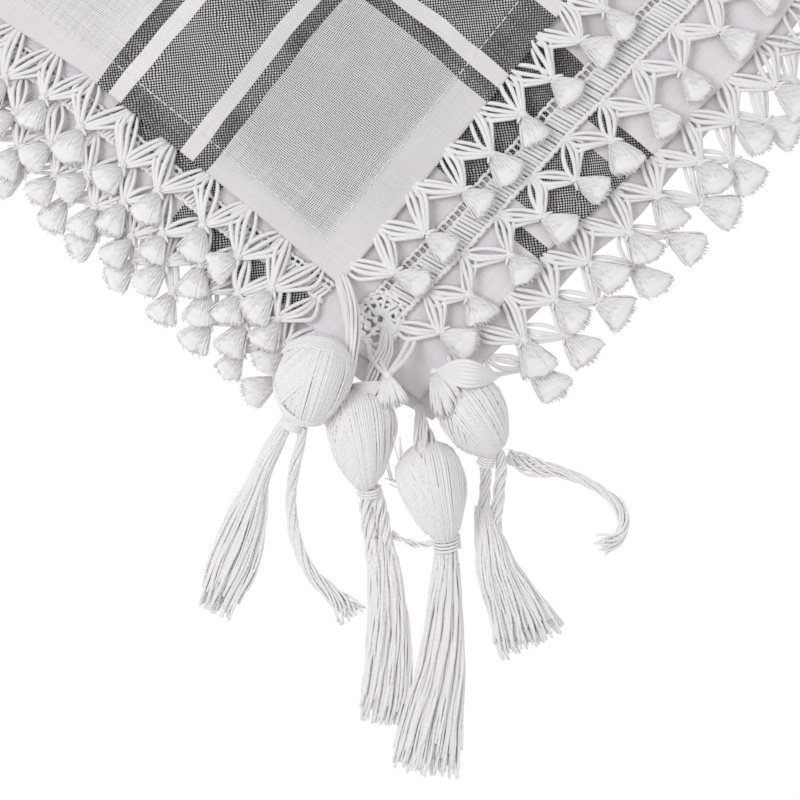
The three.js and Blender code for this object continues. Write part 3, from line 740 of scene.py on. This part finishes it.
def bulb(row):
    """An egg of yarn, wound round and round in several directions."""
    shape = Shape()
    rings, sides = 14, 24
    turn = np.pi * (np.arange(rings) + 1) / (rings + 1)
    around = 2 * np.pi * np.arange(sides) / sides
    d = np.stack([np.repeat(-np.cos(turn)[:, None], sides, 1), np.sin(turn)[:, None] * np.cos(around),
                  -np.sin(turn)[:, None] * np.sin(around)], -1)
    tips = on_bulb(row, np.array([[-1.0, 0, 0], [1.0, 0, 0]]), np.array([[0.0], [0.0]]))
    shape.loft(on_bulb(row, d, 0.0)[None], tips[None], (turn * row["half"])[None])
    for winding in WINDINGS:
        if winding["tassel"] != row["tassel"]:
            continue
        turns = winding["turns"]
        phase = np.linspace(0, 2 * np.pi * turns, 28 * turns)
        place = winding["first"] + (winding["last"] - winding["first"]) * phase / phase[-1]
        gap = abs(winding["last"] - winding["first"]) / turns
        drift = RANDOM.uniform(-0.55, 0.55, turns + 2) * gap
        place = place + np.interp(phase / (2 * np.pi), np.arange(turns + 2), drift)
        place = place * (1 - 0.35 * np.cos(phase) ** 4)
        place = np.clip(place, -0.995, 0.995)
        lean = math.radians(winding["lean"])
        ring = np.sqrt(1 - place ** 2)
        m, q = ring * np.cos(phase), place
        d = np.stack([m * math.cos(lean) - q * math.sin(lean), m * math.sin(lean) + q * math.cos(lean),
                      ring * np.sin(phase)], -1)
        jitter = np.interp(phase / (2 * np.pi), np.arange(turns + 2), RANDOM.uniform(-0.12, 0.22, turns + 2))
        path = on_bulb(row, d, (winding["lift"] + 0.12 + jitter)[:, None])
        centre = np.array([row["x"], row["y"], row["z"]])
        shape.tubes(path, YARN_LYING, sides=5, up=unit(path - centre))
    return shape


GOLDEN_TURN = 2.399963         # radians, spreads yarns evenly over a bundle's section


def bundle(row, steps, waver, ragged=0.0, stagger=0.02):
    """Yarns lying together in an oval bundle that twists on its way, ends cut unevenly."""
    shape = Shape()
    radius, count, flare = row["radius"], row["strands"], row.get("flare", 0.0)
    path = smooth_path(row["points"], 60)
    ahead = unit(np.gradient(path[:, :3], axis=0))
    level = unit(np.cross(np.array([0, 0, 1.0]), ahead))
    order = np.arange(count)
    share = np.sqrt((order + 0.5) / count)
    angle = order * GOLDEN_TURN + RANDOM.uniform(-0.2, 0.2, count)
    first = RANDOM.uniform(0, stagger, count)
    last = 1 - RANDOM.uniform(0, ragged, count)
    t = first[:, None] + (last - first)[:, None] * np.linspace(0, 1, steps)
    index = t * (len(path) - 1)
    rows = np.arange(len(path))
    at = np.stack([np.interp(index, rows, path[:, k]) for k in range(5)], -1)
    side = unit(np.stack([np.interp(index, rows, level[:, k]) for k in range(3)], -1))
    twist = angle[:, None] + 2 * np.pi * row["turns"] * t
    slow = np.sin(t * RANDOM.uniform(9, 16, (count, 1)) + RANDOM.uniform(0, 6, (count, 1)))
    quick = np.sin(t * RANDOM.uniform(22, 40, (count, 1)) + RANDOM.uniform(0, 6, (count, 1)))
    wander = waver * (slow + 0.5 * quick)
    out = share[:, None] * (1 + flare * np.clip(t - 0.85, 0, 1) * 4)
    across = out * np.cos(twist) * np.maximum(at[..., 3] / 2 - 0.7 * radius, 0.2) + wander
    over = out * np.sin(twist) * np.maximum(at[..., 4] / 2 - 0.7 * radius, 0.2)
    centre = at[..., :3] + np.array([0, 0, 1.0]) * (at[..., 4:5] / 2)
    place = centre + side * across[..., None]
    place[..., 2] = np.maximum(place[..., 2] + over, radius * 0.9)
    thin = radius * (1 - 0.25 * np.clip(t - 0.9, 0, 1) * 4) * RANDOM.uniform(0.88, 1.08, (count, 1))
    shape.tubes(place, thin, sides=5, up=(0.02, 0.03, 1))
    return shape


def whip(shape, x, y, z, dx, dy, dz, radius, turns, length):
    """A few tight turns of yarn round a bundle."""
    ahead = unit(np.array([dx, dy, dz], float))
    across = unit(np.cross(np.array([0, 0, 1.0]), ahead))
    up = np.cross(ahead, across)
    phase = np.linspace(0, 2 * np.pi * turns, 20 * turns)
    along = length * (phase / phase[-1] - 0.5)
    ring = np.cos(phase)[:, None] * across + np.sin(phase)[:, None] * up
    path = np.array([x, y, z]) + along[:, None] * ahead + radius * ring
    path[:, 2] = np.maximum(path[:, 2], 0.6)
    shape.tubes(path, YARN_LYING, sides=6, up=ring)


def flopped_fringe(shape):
    """The third layer's first fringe knot, lying over the fourth tassel."""
    knot = np.array([-2.6, -38.6, 11.5])
    routes = []
    for share in np.linspace(0, 1, 7):
        bow = 7.5 * (share - 0.45)
        routes.append((
            knot,
            (0.2 + 0.6 * bow, -42.4 + 0.4 * bow, 18.5 - 0.2 * bow),
            (2.6 + 0.8 * bow, -46.4 + 0.55 * bow, 23.6 - 0.5 * abs(bow)),
            (5.4 + 0.5 * bow, -50.6 + 0.35 * bow, 21.0 - 0.5 * abs(bow)),
            (8.4, -54.0 + 0.7 * share, 14 - share),
        ))
    draped(shape, routes, 0.72)
    shape.ellipsoids([knot], [KNOT_SIZE])
    count = 120
    aim, height = RANDOM.uniform(-1, 1, count), RANDOM.uniform(-1, 1, count)
    t = np.linspace(0, 1, 7)[:, None]
    wide = 1.0 + 4.4 * t ** 0.8
    ahead = 13.5 * t * RANDOM.uniform(0.8, 1.08, count) * (1 - 0.1 * aim ** 2)
    way = np.array([-0.47, -0.88])
    x = knot[0] + way[0] * ahead - way[1] * aim * wide
    y = knot[1] + way[1] * ahead + way[0] * aim * wide
    z = knot[2] + 1.4 * height * (0.5 + t) + 9.0 * np.sin(2.2 * t) - 1.0 * (aim * wide / 4) ** 2
    radii = np.array([0.5, 0.5, 0.5, 0.48, 0.42, 0.32, 0.12])
    shape.tubes(np.moveaxis(np.stack([x, y, z], -1), 0, 1), radii, sides=4)


# ---- materials ----------------------------------------------------------------------------


RELIEF = 0.0002                # how deep the bumps of thread and yarn read, in metres
WEAVE_PITCH = 0.56             # from thread to thread
HEM_FADE = (2.2, 1.6)          # how far inside and outside its edge a hem fades


class Nodes:
    """Adds nodes to a tree and links them, a line for each node."""

    def __init__(self, tree):
        self.tree = tree

    def add(self, kind, *inputs, **settings):
        node = self.tree.nodes.new(kind)
        for name, value in settings.items():
            setattr(node, name, value)
        for socket, value in zip(node.inputs, inputs):
            if isinstance(value, bpy.types.NodeSocket):
                self.tree.links.new(value, socket)
            elif value is not None:
                socket.default_value = value
        return node

    def math(self, operation, *inputs):
        return self.add("ShaderNodeMath", *inputs, operation=operation).outputs[0]

    def mix(self, factor, first, second):
        node = self.add("ShaderNodeMix", data_type="RGBA")
        for name, value in (("Factor", factor), ("A", first), ("B", second)):
            socket = next(s for s in node.inputs if s.name == name and s.enabled)
            if isinstance(value, bpy.types.NodeSocket):
                self.tree.links.new(value, socket)
            else:
                socket.default_value = value
        return next(s for s in node.outputs if s.enabled)

    def noise(self, place, scale, detail=2.0):
        """A soft cloudy value between 0 and 1."""
        node = self.add("ShaderNodeTexNoise", place)
        node.inputs["Scale"].default_value = scale
        node.inputs["Detail"].default_value = detail
        return node.outputs[0]

    def shade(self, finish, colour, height, strength):
        """Gives a Principled node its colour, and a fine relief that follows height."""
        self.tree.links.new(colour, finish.inputs["Base Color"])
        bump = self.add("ShaderNodeBump")
        bump.inputs["Strength"].default_value = strength
        bump.inputs["Distance"].default_value = RELIEF
        self.tree.links.new(height, bump.inputs["Height"])
        self.tree.links.new(bump.outputs[0], finish.inputs["Normal"])

    def group(self, tree, **inputs):
        node = self.tree.nodes.new("ShaderNodeGroup")
        node.node_tree = tree
        for name, value in inputs.items():
            socket = node.inputs[name.replace("_", " ")]
            if isinstance(value, bpy.types.NodeSocket):
                self.tree.links.new(value, socket)
            else:
                socket.default_value = value
        return node


def new_group(name, inputs, outputs):
    """An empty node group: its builder, what it is given and what it puts out."""
    tree = bpy.data.node_groups.new(name, "ShaderNodeTree")
    for label, kind in inputs:
        tree.interface.new_socket(name=label, in_out="INPUT", socket_type=kind)
    for label, kind in outputs:
        tree.interface.new_socket(name=label, in_out="OUTPUT", socket_type=kind)
    nodes = Nodes(tree)
    return nodes, nodes.add("NodeGroupInput").outputs, nodes.add("NodeGroupOutput").inputs


FLOAT, VECTOR = "NodeSocketFloat", "NodeSocketVector"


def band_group():
    """A wide band between two narrow ones, repeated across the cloth.

    Each mask is 1 in its bands, and Span is 1 from the first narrow band to the last.
    """
    name = "Woven Bands"
    if name in bpy.data.node_groups:
        return bpy.data.node_groups[name]
    nodes, given, out = new_group(
        name,
        [("Place", FLOAT), ("Start", FLOAT), ("Repeat", FLOAT),
         ("Narrow", FLOAT), ("Gap", FLOAT), ("Wide", FLOAT)],
        [("Wide Band", FLOAT), ("Narrow Band", FLOAT), ("Span", FLOAT)])
    place, start, repeat, narrow, gap, wide = [given[i] for i in range(6)]
    offset = nodes.math("SUBTRACT", place, start)
    within = nodes.math("FLOORED_MODULO", offset, repeat)

    def between(low, high):
        above = nodes.math("GREATER_THAN", within, low)
        return nodes.math("MULTIPLY", above, nodes.math("LESS_THAN", within, high))

    wide_from = nodes.math("ADD", narrow, gap)
    wide_to = nodes.math("ADD", wide_from, wide)
    last_from = nodes.math("ADD", wide_to, gap)
    last_to = nodes.math("ADD", last_from, narrow)
    nodes.tree.links.new(between(wide_from, wide_to), out["Wide Band"])
    both = nodes.math("MAXIMUM", between(0.0, narrow), between(last_from, last_to))
    nodes.tree.links.new(both, out["Narrow Band"])
    nodes.tree.links.new(between(0.0, last_to), out["Span"])
    return nodes.tree


def weave_group():
    """Plain weave: Checks is 1 on the white threads' dots, Threads is 0 in the holes between
    threads, Streaks is the thick and thin of the yarn, and Height follows the threads."""
    name = "Plain Weave"
    if name in bpy.data.node_groups:
        return bpy.data.node_groups[name]
    nodes, given, out = new_group(
        name, [("Place", VECTOR), ("Pitch", FLOAT)],
        [("Checks", FLOAT), ("Threads", FLOAT), ("Streaks", FLOAT), ("Height", FLOAT)])
    place, pitch = given["Place"], given["Pitch"]
    wobble = nodes.noise(place, 0.03, 3.0)
    parts = nodes.add("ShaderNodeSeparateXYZ", place).outputs
    bend = nodes.math("MULTIPLY", nodes.math("SUBTRACT", wobble, 0.5), 6.0)
    fine = nodes.noise(place, 0.45, 1.0)
    shake = nodes.math("MULTIPLY", nodes.math("SUBTRACT", fine, 0.5), 0.5)
    x = nodes.math("ADD", nodes.math("ADD", parts[0], bend), shake)
    y = nodes.math("SUBTRACT", nodes.math("SUBTRACT", parts[1], bend), shake)
    rate = nodes.math("DIVIDE", math.pi, pitch)
    wave_x = nodes.math("SINE", nodes.math("MULTIPLY", x, rate))
    wave_y = nodes.math("SINE", nodes.math("MULTIPLY", y, rate))
    product = nodes.math("MULTIPLY", wave_x, wave_y)
    steps = nodes.add("ShaderNodeMapRange", product, 0.0, 0.4, 0.0, 1.0, interpolation_type="SMOOTHSTEP")
    nodes.tree.links.new(steps.outputs[0], out["Checks"])
    nearest = nodes.math("MAXIMUM", nodes.math("ABSOLUTE", wave_x), nodes.math("ABSOLUTE", wave_y))
    holes = nodes.add("ShaderNodeMapRange", nearest, 0.70, 0.98, 0.0, 1.0, interpolation_type="SMOOTHSTEP")
    nodes.tree.links.new(holes.outputs[0], out["Threads"])
    nodes.tree.links.new(nodes.math("ABSOLUTE", product), out["Height"])
    streaks = []
    for scale in ((1.7, 0.05, 0.0), (0.05, 1.7, 0.0)):
        stretched = nodes.add("ShaderNodeVectorMath", place, scale, operation="MULTIPLY")
        streaks.append(nodes.noise(stretched.outputs[0], 1.0))
    nodes.tree.links.new(nodes.math("MULTIPLY", nodes.math("ADD", *streaks), 0.5), out["Streaks"])
    return nodes.tree


def srgb(*values):
    """Linear colour from 0 to 255 values."""
    linear = [v / 12.92 if v <= 0.04045 else ((v + 0.055) / 1.055) ** 2.4 for v in (x / 255 for x in values)]
    return (*linear, 1.0)


def surface(name, roughness, sheen):
    """A new material, its node builder and its Principled node."""
    material = bpy.data.materials.new(name)
    material.use_nodes = True
    nodes = Nodes(material.node_tree)
    finish = material.node_tree.nodes["Principled BSDF"]
    finish.inputs["Roughness"].default_value = roughness
    finish.inputs["Specular IOR Level"].default_value = 0.2
    finish.inputs["Sheen Weight"].default_value = sheen
    finish.inputs["Sheen Roughness"].default_value = 0.6
    return material, nodes, finish


def soft_step(nodes, place, edge):
    """1 where place is below edge, fading to 0 across it."""
    inside, outside = HEM_FADE
    return nodes.add("ShaderNodeMapRange", place, edge - inside, edge + outside, 1.0, 0.0).outputs[0]


def cloth_material(name, bands_x, bands_y, hem_side, hem_front, colours, shade_in_holes=0.45):
    """White gauze with woven bands, denser at its hems; the holes between its threads are painted nearly
    black, a painted shade for the shadow between the layers seen through the gauze. Bands are start, repeat,
    narrow, gap, wide.
    """
    material, nodes, finish = surface(name, 0.9, 0.12)
    coordinates = nodes.add("ShaderNodeTexCoord").outputs["Object"]
    millimetres = nodes.add("ShaderNodeVectorMath", coordinates, operation="SCALE")
    millimetres.inputs["Scale"].default_value = 1 / MM
    place = nodes.add("ShaderNodeVectorMath", millimetres.outputs[0], tuple(SHIFT),
                      operation="SUBTRACT").outputs[0]
    parts = nodes.add("ShaderNodeSeparateXYZ", place).outputs
    weave = nodes.group(weave_group(), Place=place, Pitch=WEAVE_PITCH).outputs
    drift = nodes.noise(place, 0.025)
    sway = nodes.math("MULTIPLY", nodes.math("SUBTRACT", drift, 0.5), 5.0)
    masks = []
    for axis, bands in ((parts[0], bands_x), (parts[1], bands_y)):
        axis = nodes.math("ADD", axis, sway)
        keys = ("Start", "Repeat", "Narrow", "Gap", "Wide")
        masks.append(nodes.group(band_group(), Place=axis, **dict(zip(keys, bands))).outputs)
    wide = nodes.math("MAXIMUM", masks[0]["Wide Band"], masks[1]["Wide Band"])
    span = nodes.math("MAXIMUM", masks[0]["Span"], masks[1]["Span"])
    narrow = nodes.math("MAXIMUM", masks[0]["Narrow Band"], masks[1]["Narrow Band"])
    hem = nodes.math("MAXIMUM", soft_step(nodes, parts[0], hem_side), soft_step(nodes, parts[1], hem_front))
    gauze, dense, dark, pale = colours
    streak = nodes.add("ShaderNodeMapRange", weave["Streaks"], 0.36, 0.64, 0.0, 1.0).outputs[0]
    patches = nodes.noise(place, 0.05)
    tone = nodes.add("ShaderNodeMapRange", patches, 0.3, 0.7, 0.0, 1.0).outputs[0]
    away = nodes.add("ShaderNodeVectorMath", place, CORNER_BLOCK, operation="DISTANCE").outputs["Value"]
    corner = nodes.add("ShaderNodeMapRange", away, 12.0, 62.0, 0.75, 0.0,
                       interpolation_type="SMOOTHSTEP").outputs[0]
    # Painted shade: how dark each hole is painted. It differs at random, is strongest near the corner block,
    # and is less where the yarn is thick, in the hems and in the bands.
    hole_shade_share = nodes.math("ADD", nodes.math("MULTIPLY", tone, 0.35), nodes.math("ADD", corner, 0.5))
    hole_shade_share = nodes.math("SUBTRACT", hole_shade_share, nodes.math("MULTIPLY", streak, 0.45))
    holes = nodes.math("MULTIPLY", nodes.math("SUBTRACT", 1.0, weave["Threads"]), hole_shade_share)
    holes = nodes.math("MULTIPLY", holes, nodes.math("SUBTRACT", 1.0, nodes.math("MULTIPLY", hem, 0.62)))
    closed = nodes.math("SUBTRACT", 1.0, nodes.math("MULTIPLY", span, 0.55))
    holes = nodes.math("MULTIPLY", holes, nodes.math("MULTIPLY", closed, shade_in_holes))
    threads = nodes.mix(hem, gauze, dense)
    # The holes take a near-black colour: painted shade of the layer beneath, not a colour of the cloth itself.
    white = nodes.mix(holes, threads, tuple(0.05 * c for c in gauze[:3]) + (1,))
    worn = nodes.math("ADD", nodes.math("MULTIPLY", tone, 0.5), nodes.math("MULTIPLY", streak, 0.55))
    plain = nodes.math("MAXIMUM", hem, narrow)
    show = nodes.math("SUBTRACT", nodes.math("ADD", worn, 0.52), nodes.math("MULTIPLY", plain, 0.42))
    woven = nodes.mix(nodes.math("MULTIPLY", weave["Checks"], show), dark, pale)
    colour = nodes.mix(nodes.math("MAXIMUM", wide, narrow), white, woven)
    nodes.shade(finish, colour, weave["Height"], 0.35)
    return material


def yarn_material(name, colour, twist, shade):
    """Soft cotton yarn: twist is the length of a turn, and shade is how dark the painted shade in the hollows
    of its twist is.
    """
    material, nodes, finish = surface(name, 0.88, 0.1)
    parts = nodes.add("ShaderNodeSeparateXYZ", nodes.add("ShaderNodeTexCoord").outputs["UV"]).outputs
    length = nodes.math("MULTIPLY", parts[0], 2 * math.pi / (twist * MM))
    round_it = nodes.math("MULTIPLY", parts[1], 2 * math.pi * 2 / MM)
    ply = nodes.math("SINE", nodes.math("ADD", length, round_it))
    coordinates = nodes.add("ShaderNodeTexCoord").outputs["Object"]
    fuzz = nodes.math("MULTIPLY", nodes.noise(coordinates, 900.0), 0.4)
    # Painted shade in the hollows of the twist, plus a tone that differs at random.
    tone = nodes.math("ADD", nodes.math("MULTIPLY", nodes.math("ADD", ply, 1.0), 0.3), fuzz)
    hollow_shade_colour = tuple(shade * c for c in colour[:3]) + (1,)
    nodes.shade(finish, nodes.mix(tone, hollow_shade_colour, colour), tone, 0.5)
    return material


# ---- colours ------------------------------------------------------------------------------

COTTON = srgb(243, 240, 242)
GAUZE = srgb(240, 236, 240)
DENSE = srgb(231, 227, 231)
BLACK = srgb(47, 46, 49)
DOTS = srgb(226, 224, 228)
CORNER_BLOCK = (46.0, 36.0, 0.0)     # where the top layer is woven most openly, so the most painted shade shows in its holes
NO_BANDS = (-1000.0, 10000.0, 0.0, 0.0, 0.0)
STAGE_MIDDLE = np.array([-0.2344, -0.2391, 0.0])    # what the camera looks down on, in metres
CAMERA_TURN = -51              # degrees

# ---- the add-on ---------------------------------------------------------------------------


class KeffiyehSettings(bpy.types.PropertyGroup):
    cells: bpy.props.IntProperty(
        name="Cloth cells", description="Cells along each side of the top layer",
        default=120, min=20, max=200)
    white: bpy.props.FloatVectorProperty(
        name="Yarn", description="Colour of the fringe and tassel yarn", subtype="COLOR", size=4,
        default=COTTON, min=0, max=1)
    lens: bpy.props.FloatProperty(
        name="Focal length", description="Focal length of the camera", default=100, min=20, max=300)
    height: bpy.props.FloatProperty(
        name="Camera height", description="Height of the camera above the cloth", default=0.672,
        min=0.1, max=3, unit="LENGTH")


def settings():
    """The sizes and colours that the panel shows."""
    return bpy.context.scene.keffiyeh


class KEFFIYEH_OT_cloth(bpy.types.Operator):
    """Build the four layers of cloth"""

    bl_idname = "keffiyeh.cloth"
    bl_label = "Build Cloth"

    def execute(self, context):
        cells = settings().cells
        bands = (132.0, 5.0, 5.0, 22.0)        # repeat, narrow, gap and wide
        colours = (GAUZE, DENSE, BLACK, DOTS)
        # The top layer's holes get the full painted shade; the lower layers keep the lighter default.
        layers = (
            (1, "quarter_top", "top_layer", cells, 4.35, 1.75, (0, 0), 1.0, True, 0.0,
             cloth_material("Banded gauze", (71.0, *bands), (53.0, *bands), HEM_SIDE, HEM_FRONT,
                            colours, 1.0)),
            (2, "quarter_second", "under_layers", 90, 1.3, 0.0, (6.6, 10.9), 0.0, False, 0.6,
             cloth_material("Banded gauze reverse", (46.0, 134.0, 0.0, 0.0, 51.5),
                            (46.0, 134.0, 0.0, 0.0, 40.0), 0.0, 0.0, colours)),
            (3, "quarter_third", "under_layers", 90, 0.0, 1.3, (0, 0), 0.0, True, 0.6,
             cloth_material("Banded gauze third", (44.0, 134.0, 4.7, 5.6, 25.6),
                            (5.0, 134.0, 0.0, 0.0, 47.0), -100.0, -100.0, colours)),
            (4, "quarter_fourth", "under_layers", 90, 0.0, 0.0, (0, 0), 0.0, False, 0.0,
             cloth_material("Plain gauze", NO_BANDS, NO_BANDS, 600.0, 0.0, colours)),
        )
        for layer, name, node, count, drop_x, drop_y, inset, ripple, hem, inside, material in layers:
            shape = cloth(layer, count, drop_x, drop_y, inset, ripple, hem, inside)
            piece = shape.build(name, material, "striped_cloth", [node])
        return {"FINISHED"}


class KEFFIYEH_OT_fringe(bpy.types.Operator):
    """Build the knotted fringe of every layer's free edges"""

    bl_idname = "keffiyeh.fringe"
    bl_label = "Build Fringe"

    def execute(self, context):
        material = yarn_material("Fringe yarn", tuple(settings().white), 2.4, 0.93)
        for row in FRINGES:
            shape = Shape()
            fringe_row(shape, **row)
            name = f"{row['layer']}_{row['side']}"
            shape.build(f"threads_{name}", material, "fringe_yarn", [f"fringe_{name}"])
        return {"FINISHED"}


class KEFFIYEH_OT_heading(bpy.types.Operator):
    """Build the knotted headings and the crocheted corner of the second layer"""

    bl_idname = "keffiyeh.heading"
    bl_label = "Build Headings"

    def execute(self, context):
        material = yarn_material("Heading yarn", tuple(settings().white), 1.6, 0.93)
        for row in HEADINGS:
            shape = heading_band(2, **row)
            shape.build(f"chain_band_{row['side']}", material, "fringe_yarn", [f"heading_2_{row['side']}"])
        corner_crochet().build("crochet_corner", material, "fringe_yarn", ["corner_patch_2"])
        hem_stitches().build("hem_stitches", material, "fringe_yarn", ["top_layer"])
        return {"FINISHED"}


class KEFFIYEH_OT_tassels(bpy.types.Operator):
    """Build the four wound tassels with their necks, cords and cut yarns"""

    bl_idname = "keffiyeh.tassels"
    bl_label = "Build Tassels"

    def execute(self, context):
        material = yarn_material("Tassel yarn", tuple(settings().white), 1.9, 0.94)
        for row in BULBS:
            bulb(row).build(f"wound_bulb_{row['tassel']}", material, "tassel_yarn", [f"bulb_{row['tassel']}"])
        for row in NECKS:
            shape = bundle(row, steps=22, waver=0.1)
            shape.build(f"neck_yarns_{row['name']}", material, "tassel_yarn", [f"neck_{row['name']}"])
        for row in CORDS:
            shape = bundle(row, steps=40, waver=0.05)
            name = row["name"].replace(" ", "_")
            shape.build(f"twisted_{name}", material, "tassel_yarn", [f"cord_{name}"])
        for row in SKIRTS:
            shape = bundle(row, steps=20, waver=0.26, ragged=0.16, stagger=0.16)
            shape.build(f"cut_yarns_{row['name']}", material, "tassel_yarn", [f"skirt_{row['name']}"])
        for row in STRAYS:
            shape = bundle(row, steps=60, waver=0.1, ragged=0.05)
            shape.build(f"loose_yarn_{row['name']}", material, "tassel_yarn", [f"strand_{row['name']}"])
        shape = Shape()
        flopped_fringe(shape)
        shape.build("flopped_fringe", material, "fringe_yarn", ["fringe_3_front"])
        shape = Shape()
        draped(shape, LOOSE_THREADS, 0.24, steps=26, wander=0.7)
        shape.build("stray_threads", material, "tassel_yarn", ["bulb_3"])
        shape = Shape()
        for row in WHIPS:
            whip(shape, **row)
        shape.build("whipped_ties", material, "tassel_yarn", ["bulb_1", "bulb_2", "bulb_3", "bulb_4"])
        return {"FINISHED"}


class KEFFIYEH_OT_stage(bpy.types.Operator):
    """Add the white surface, the light and the camera"""

    bl_idname = "keffiyeh.stage"
    bl_label = "Add Stage"

    def execute(self, context):
        bpy.ops.mesh.primitive_plane_add(size=6, location=(0, 0, -0.0005))
        floor = context.object
        floor.name = "white_surface"
        white = bpy.data.materials.new("White surface")
        white.use_nodes = True
        nodes = white.node_tree.nodes
        nodes.clear()
        glow = nodes.new("ShaderNodeEmission")
        glow.inputs["Strength"].default_value = 1.0
        out = nodes.new("ShaderNodeOutputMaterial")
        white.node_tree.links.new(glow.outputs[0], out.inputs["Surface"])
        floor.data.materials.append(white)
        world = bpy.data.worlds.new("Soft white")
        world.use_nodes = True
        world.node_tree.nodes["Background"].inputs["Color"].default_value = (1, 1, 1, 1)
        world.node_tree.nodes["Background"].inputs["Strength"].default_value = 0.62
        context.scene.world = world
        for name, offset, size, power in (
            ("Key light", (-0.35, 0.55, 0.9), 0.5, 4.6),
            ("Fill light", (0.5, -0.3, 1.1), 1.2, 1.8),
        ):
            bpy.ops.object.light_add(type="AREA", location=tuple(STAGE_MIDDLE + np.array(offset)))
            light = context.object
            light.name = name
            light.data.size = size
            light.data.energy = power
            towards = Vector(tuple(-np.array(offset)))
            light.rotation_euler = towards.to_track_quat("-Z", "Y").to_euler()
        bpy.ops.object.camera_add(location=(*STAGE_MIDDLE[:2], settings().height),
                                  rotation=(0, 0, math.radians(CAMERA_TURN)))
        camera = context.object
        camera.name = "Camera above"
        camera.data.lens = settings().lens
        camera.data.sensor_width = 36
        camera.data.clip_start = 0.01
        context.scene.camera = camera
        context.scene.view_settings.view_transform = "Standard"
        return {"FINISHED"}


class KEFFIYEH_PT_panel(bpy.types.Panel):
    """Buttons that build the keffiyeh, piece by piece"""

    bl_label = "Keffiyeh"
    bl_space_type = "VIEW_3D"
    bl_region_type = "UI"
    bl_category = "Keffiyeh"

    def draw(self, context):
        layout = self.layout
        for name in ("cells", "white", "lens", "height"):
            layout.prop(context.scene.keffiyeh, name)
        for operator in OPERATORS:
            layout.operator(operator.bl_idname)


OPERATORS = (
    KEFFIYEH_OT_cloth,
    KEFFIYEH_OT_fringe,
    KEFFIYEH_OT_heading,
    KEFFIYEH_OT_tassels,
    KEFFIYEH_OT_stage,
)
CLASSES = (KeffiyehSettings, *OPERATORS, KEFFIYEH_PT_panel)


def register():
    for cls in CLASSES:
        bpy.utils.register_class(cls)
    bpy.types.Scene.keffiyeh = bpy.props.PointerProperty(type=KeffiyehSettings)


def unregister():
    del bpy.types.Scene.keffiyeh
    for cls in reversed(CLASSES):
        bpy.utils.unregister_class(cls)


def main():
    """Build everything."""
    register()
    bpy.ops.keffiyeh.cloth()
    bpy.ops.keffiyeh.fringe()
    bpy.ops.keffiyeh.heading()
    bpy.ops.keffiyeh.tassels()
    bpy.ops.keffiyeh.stage()


if __name__ == "__main__":
    main()
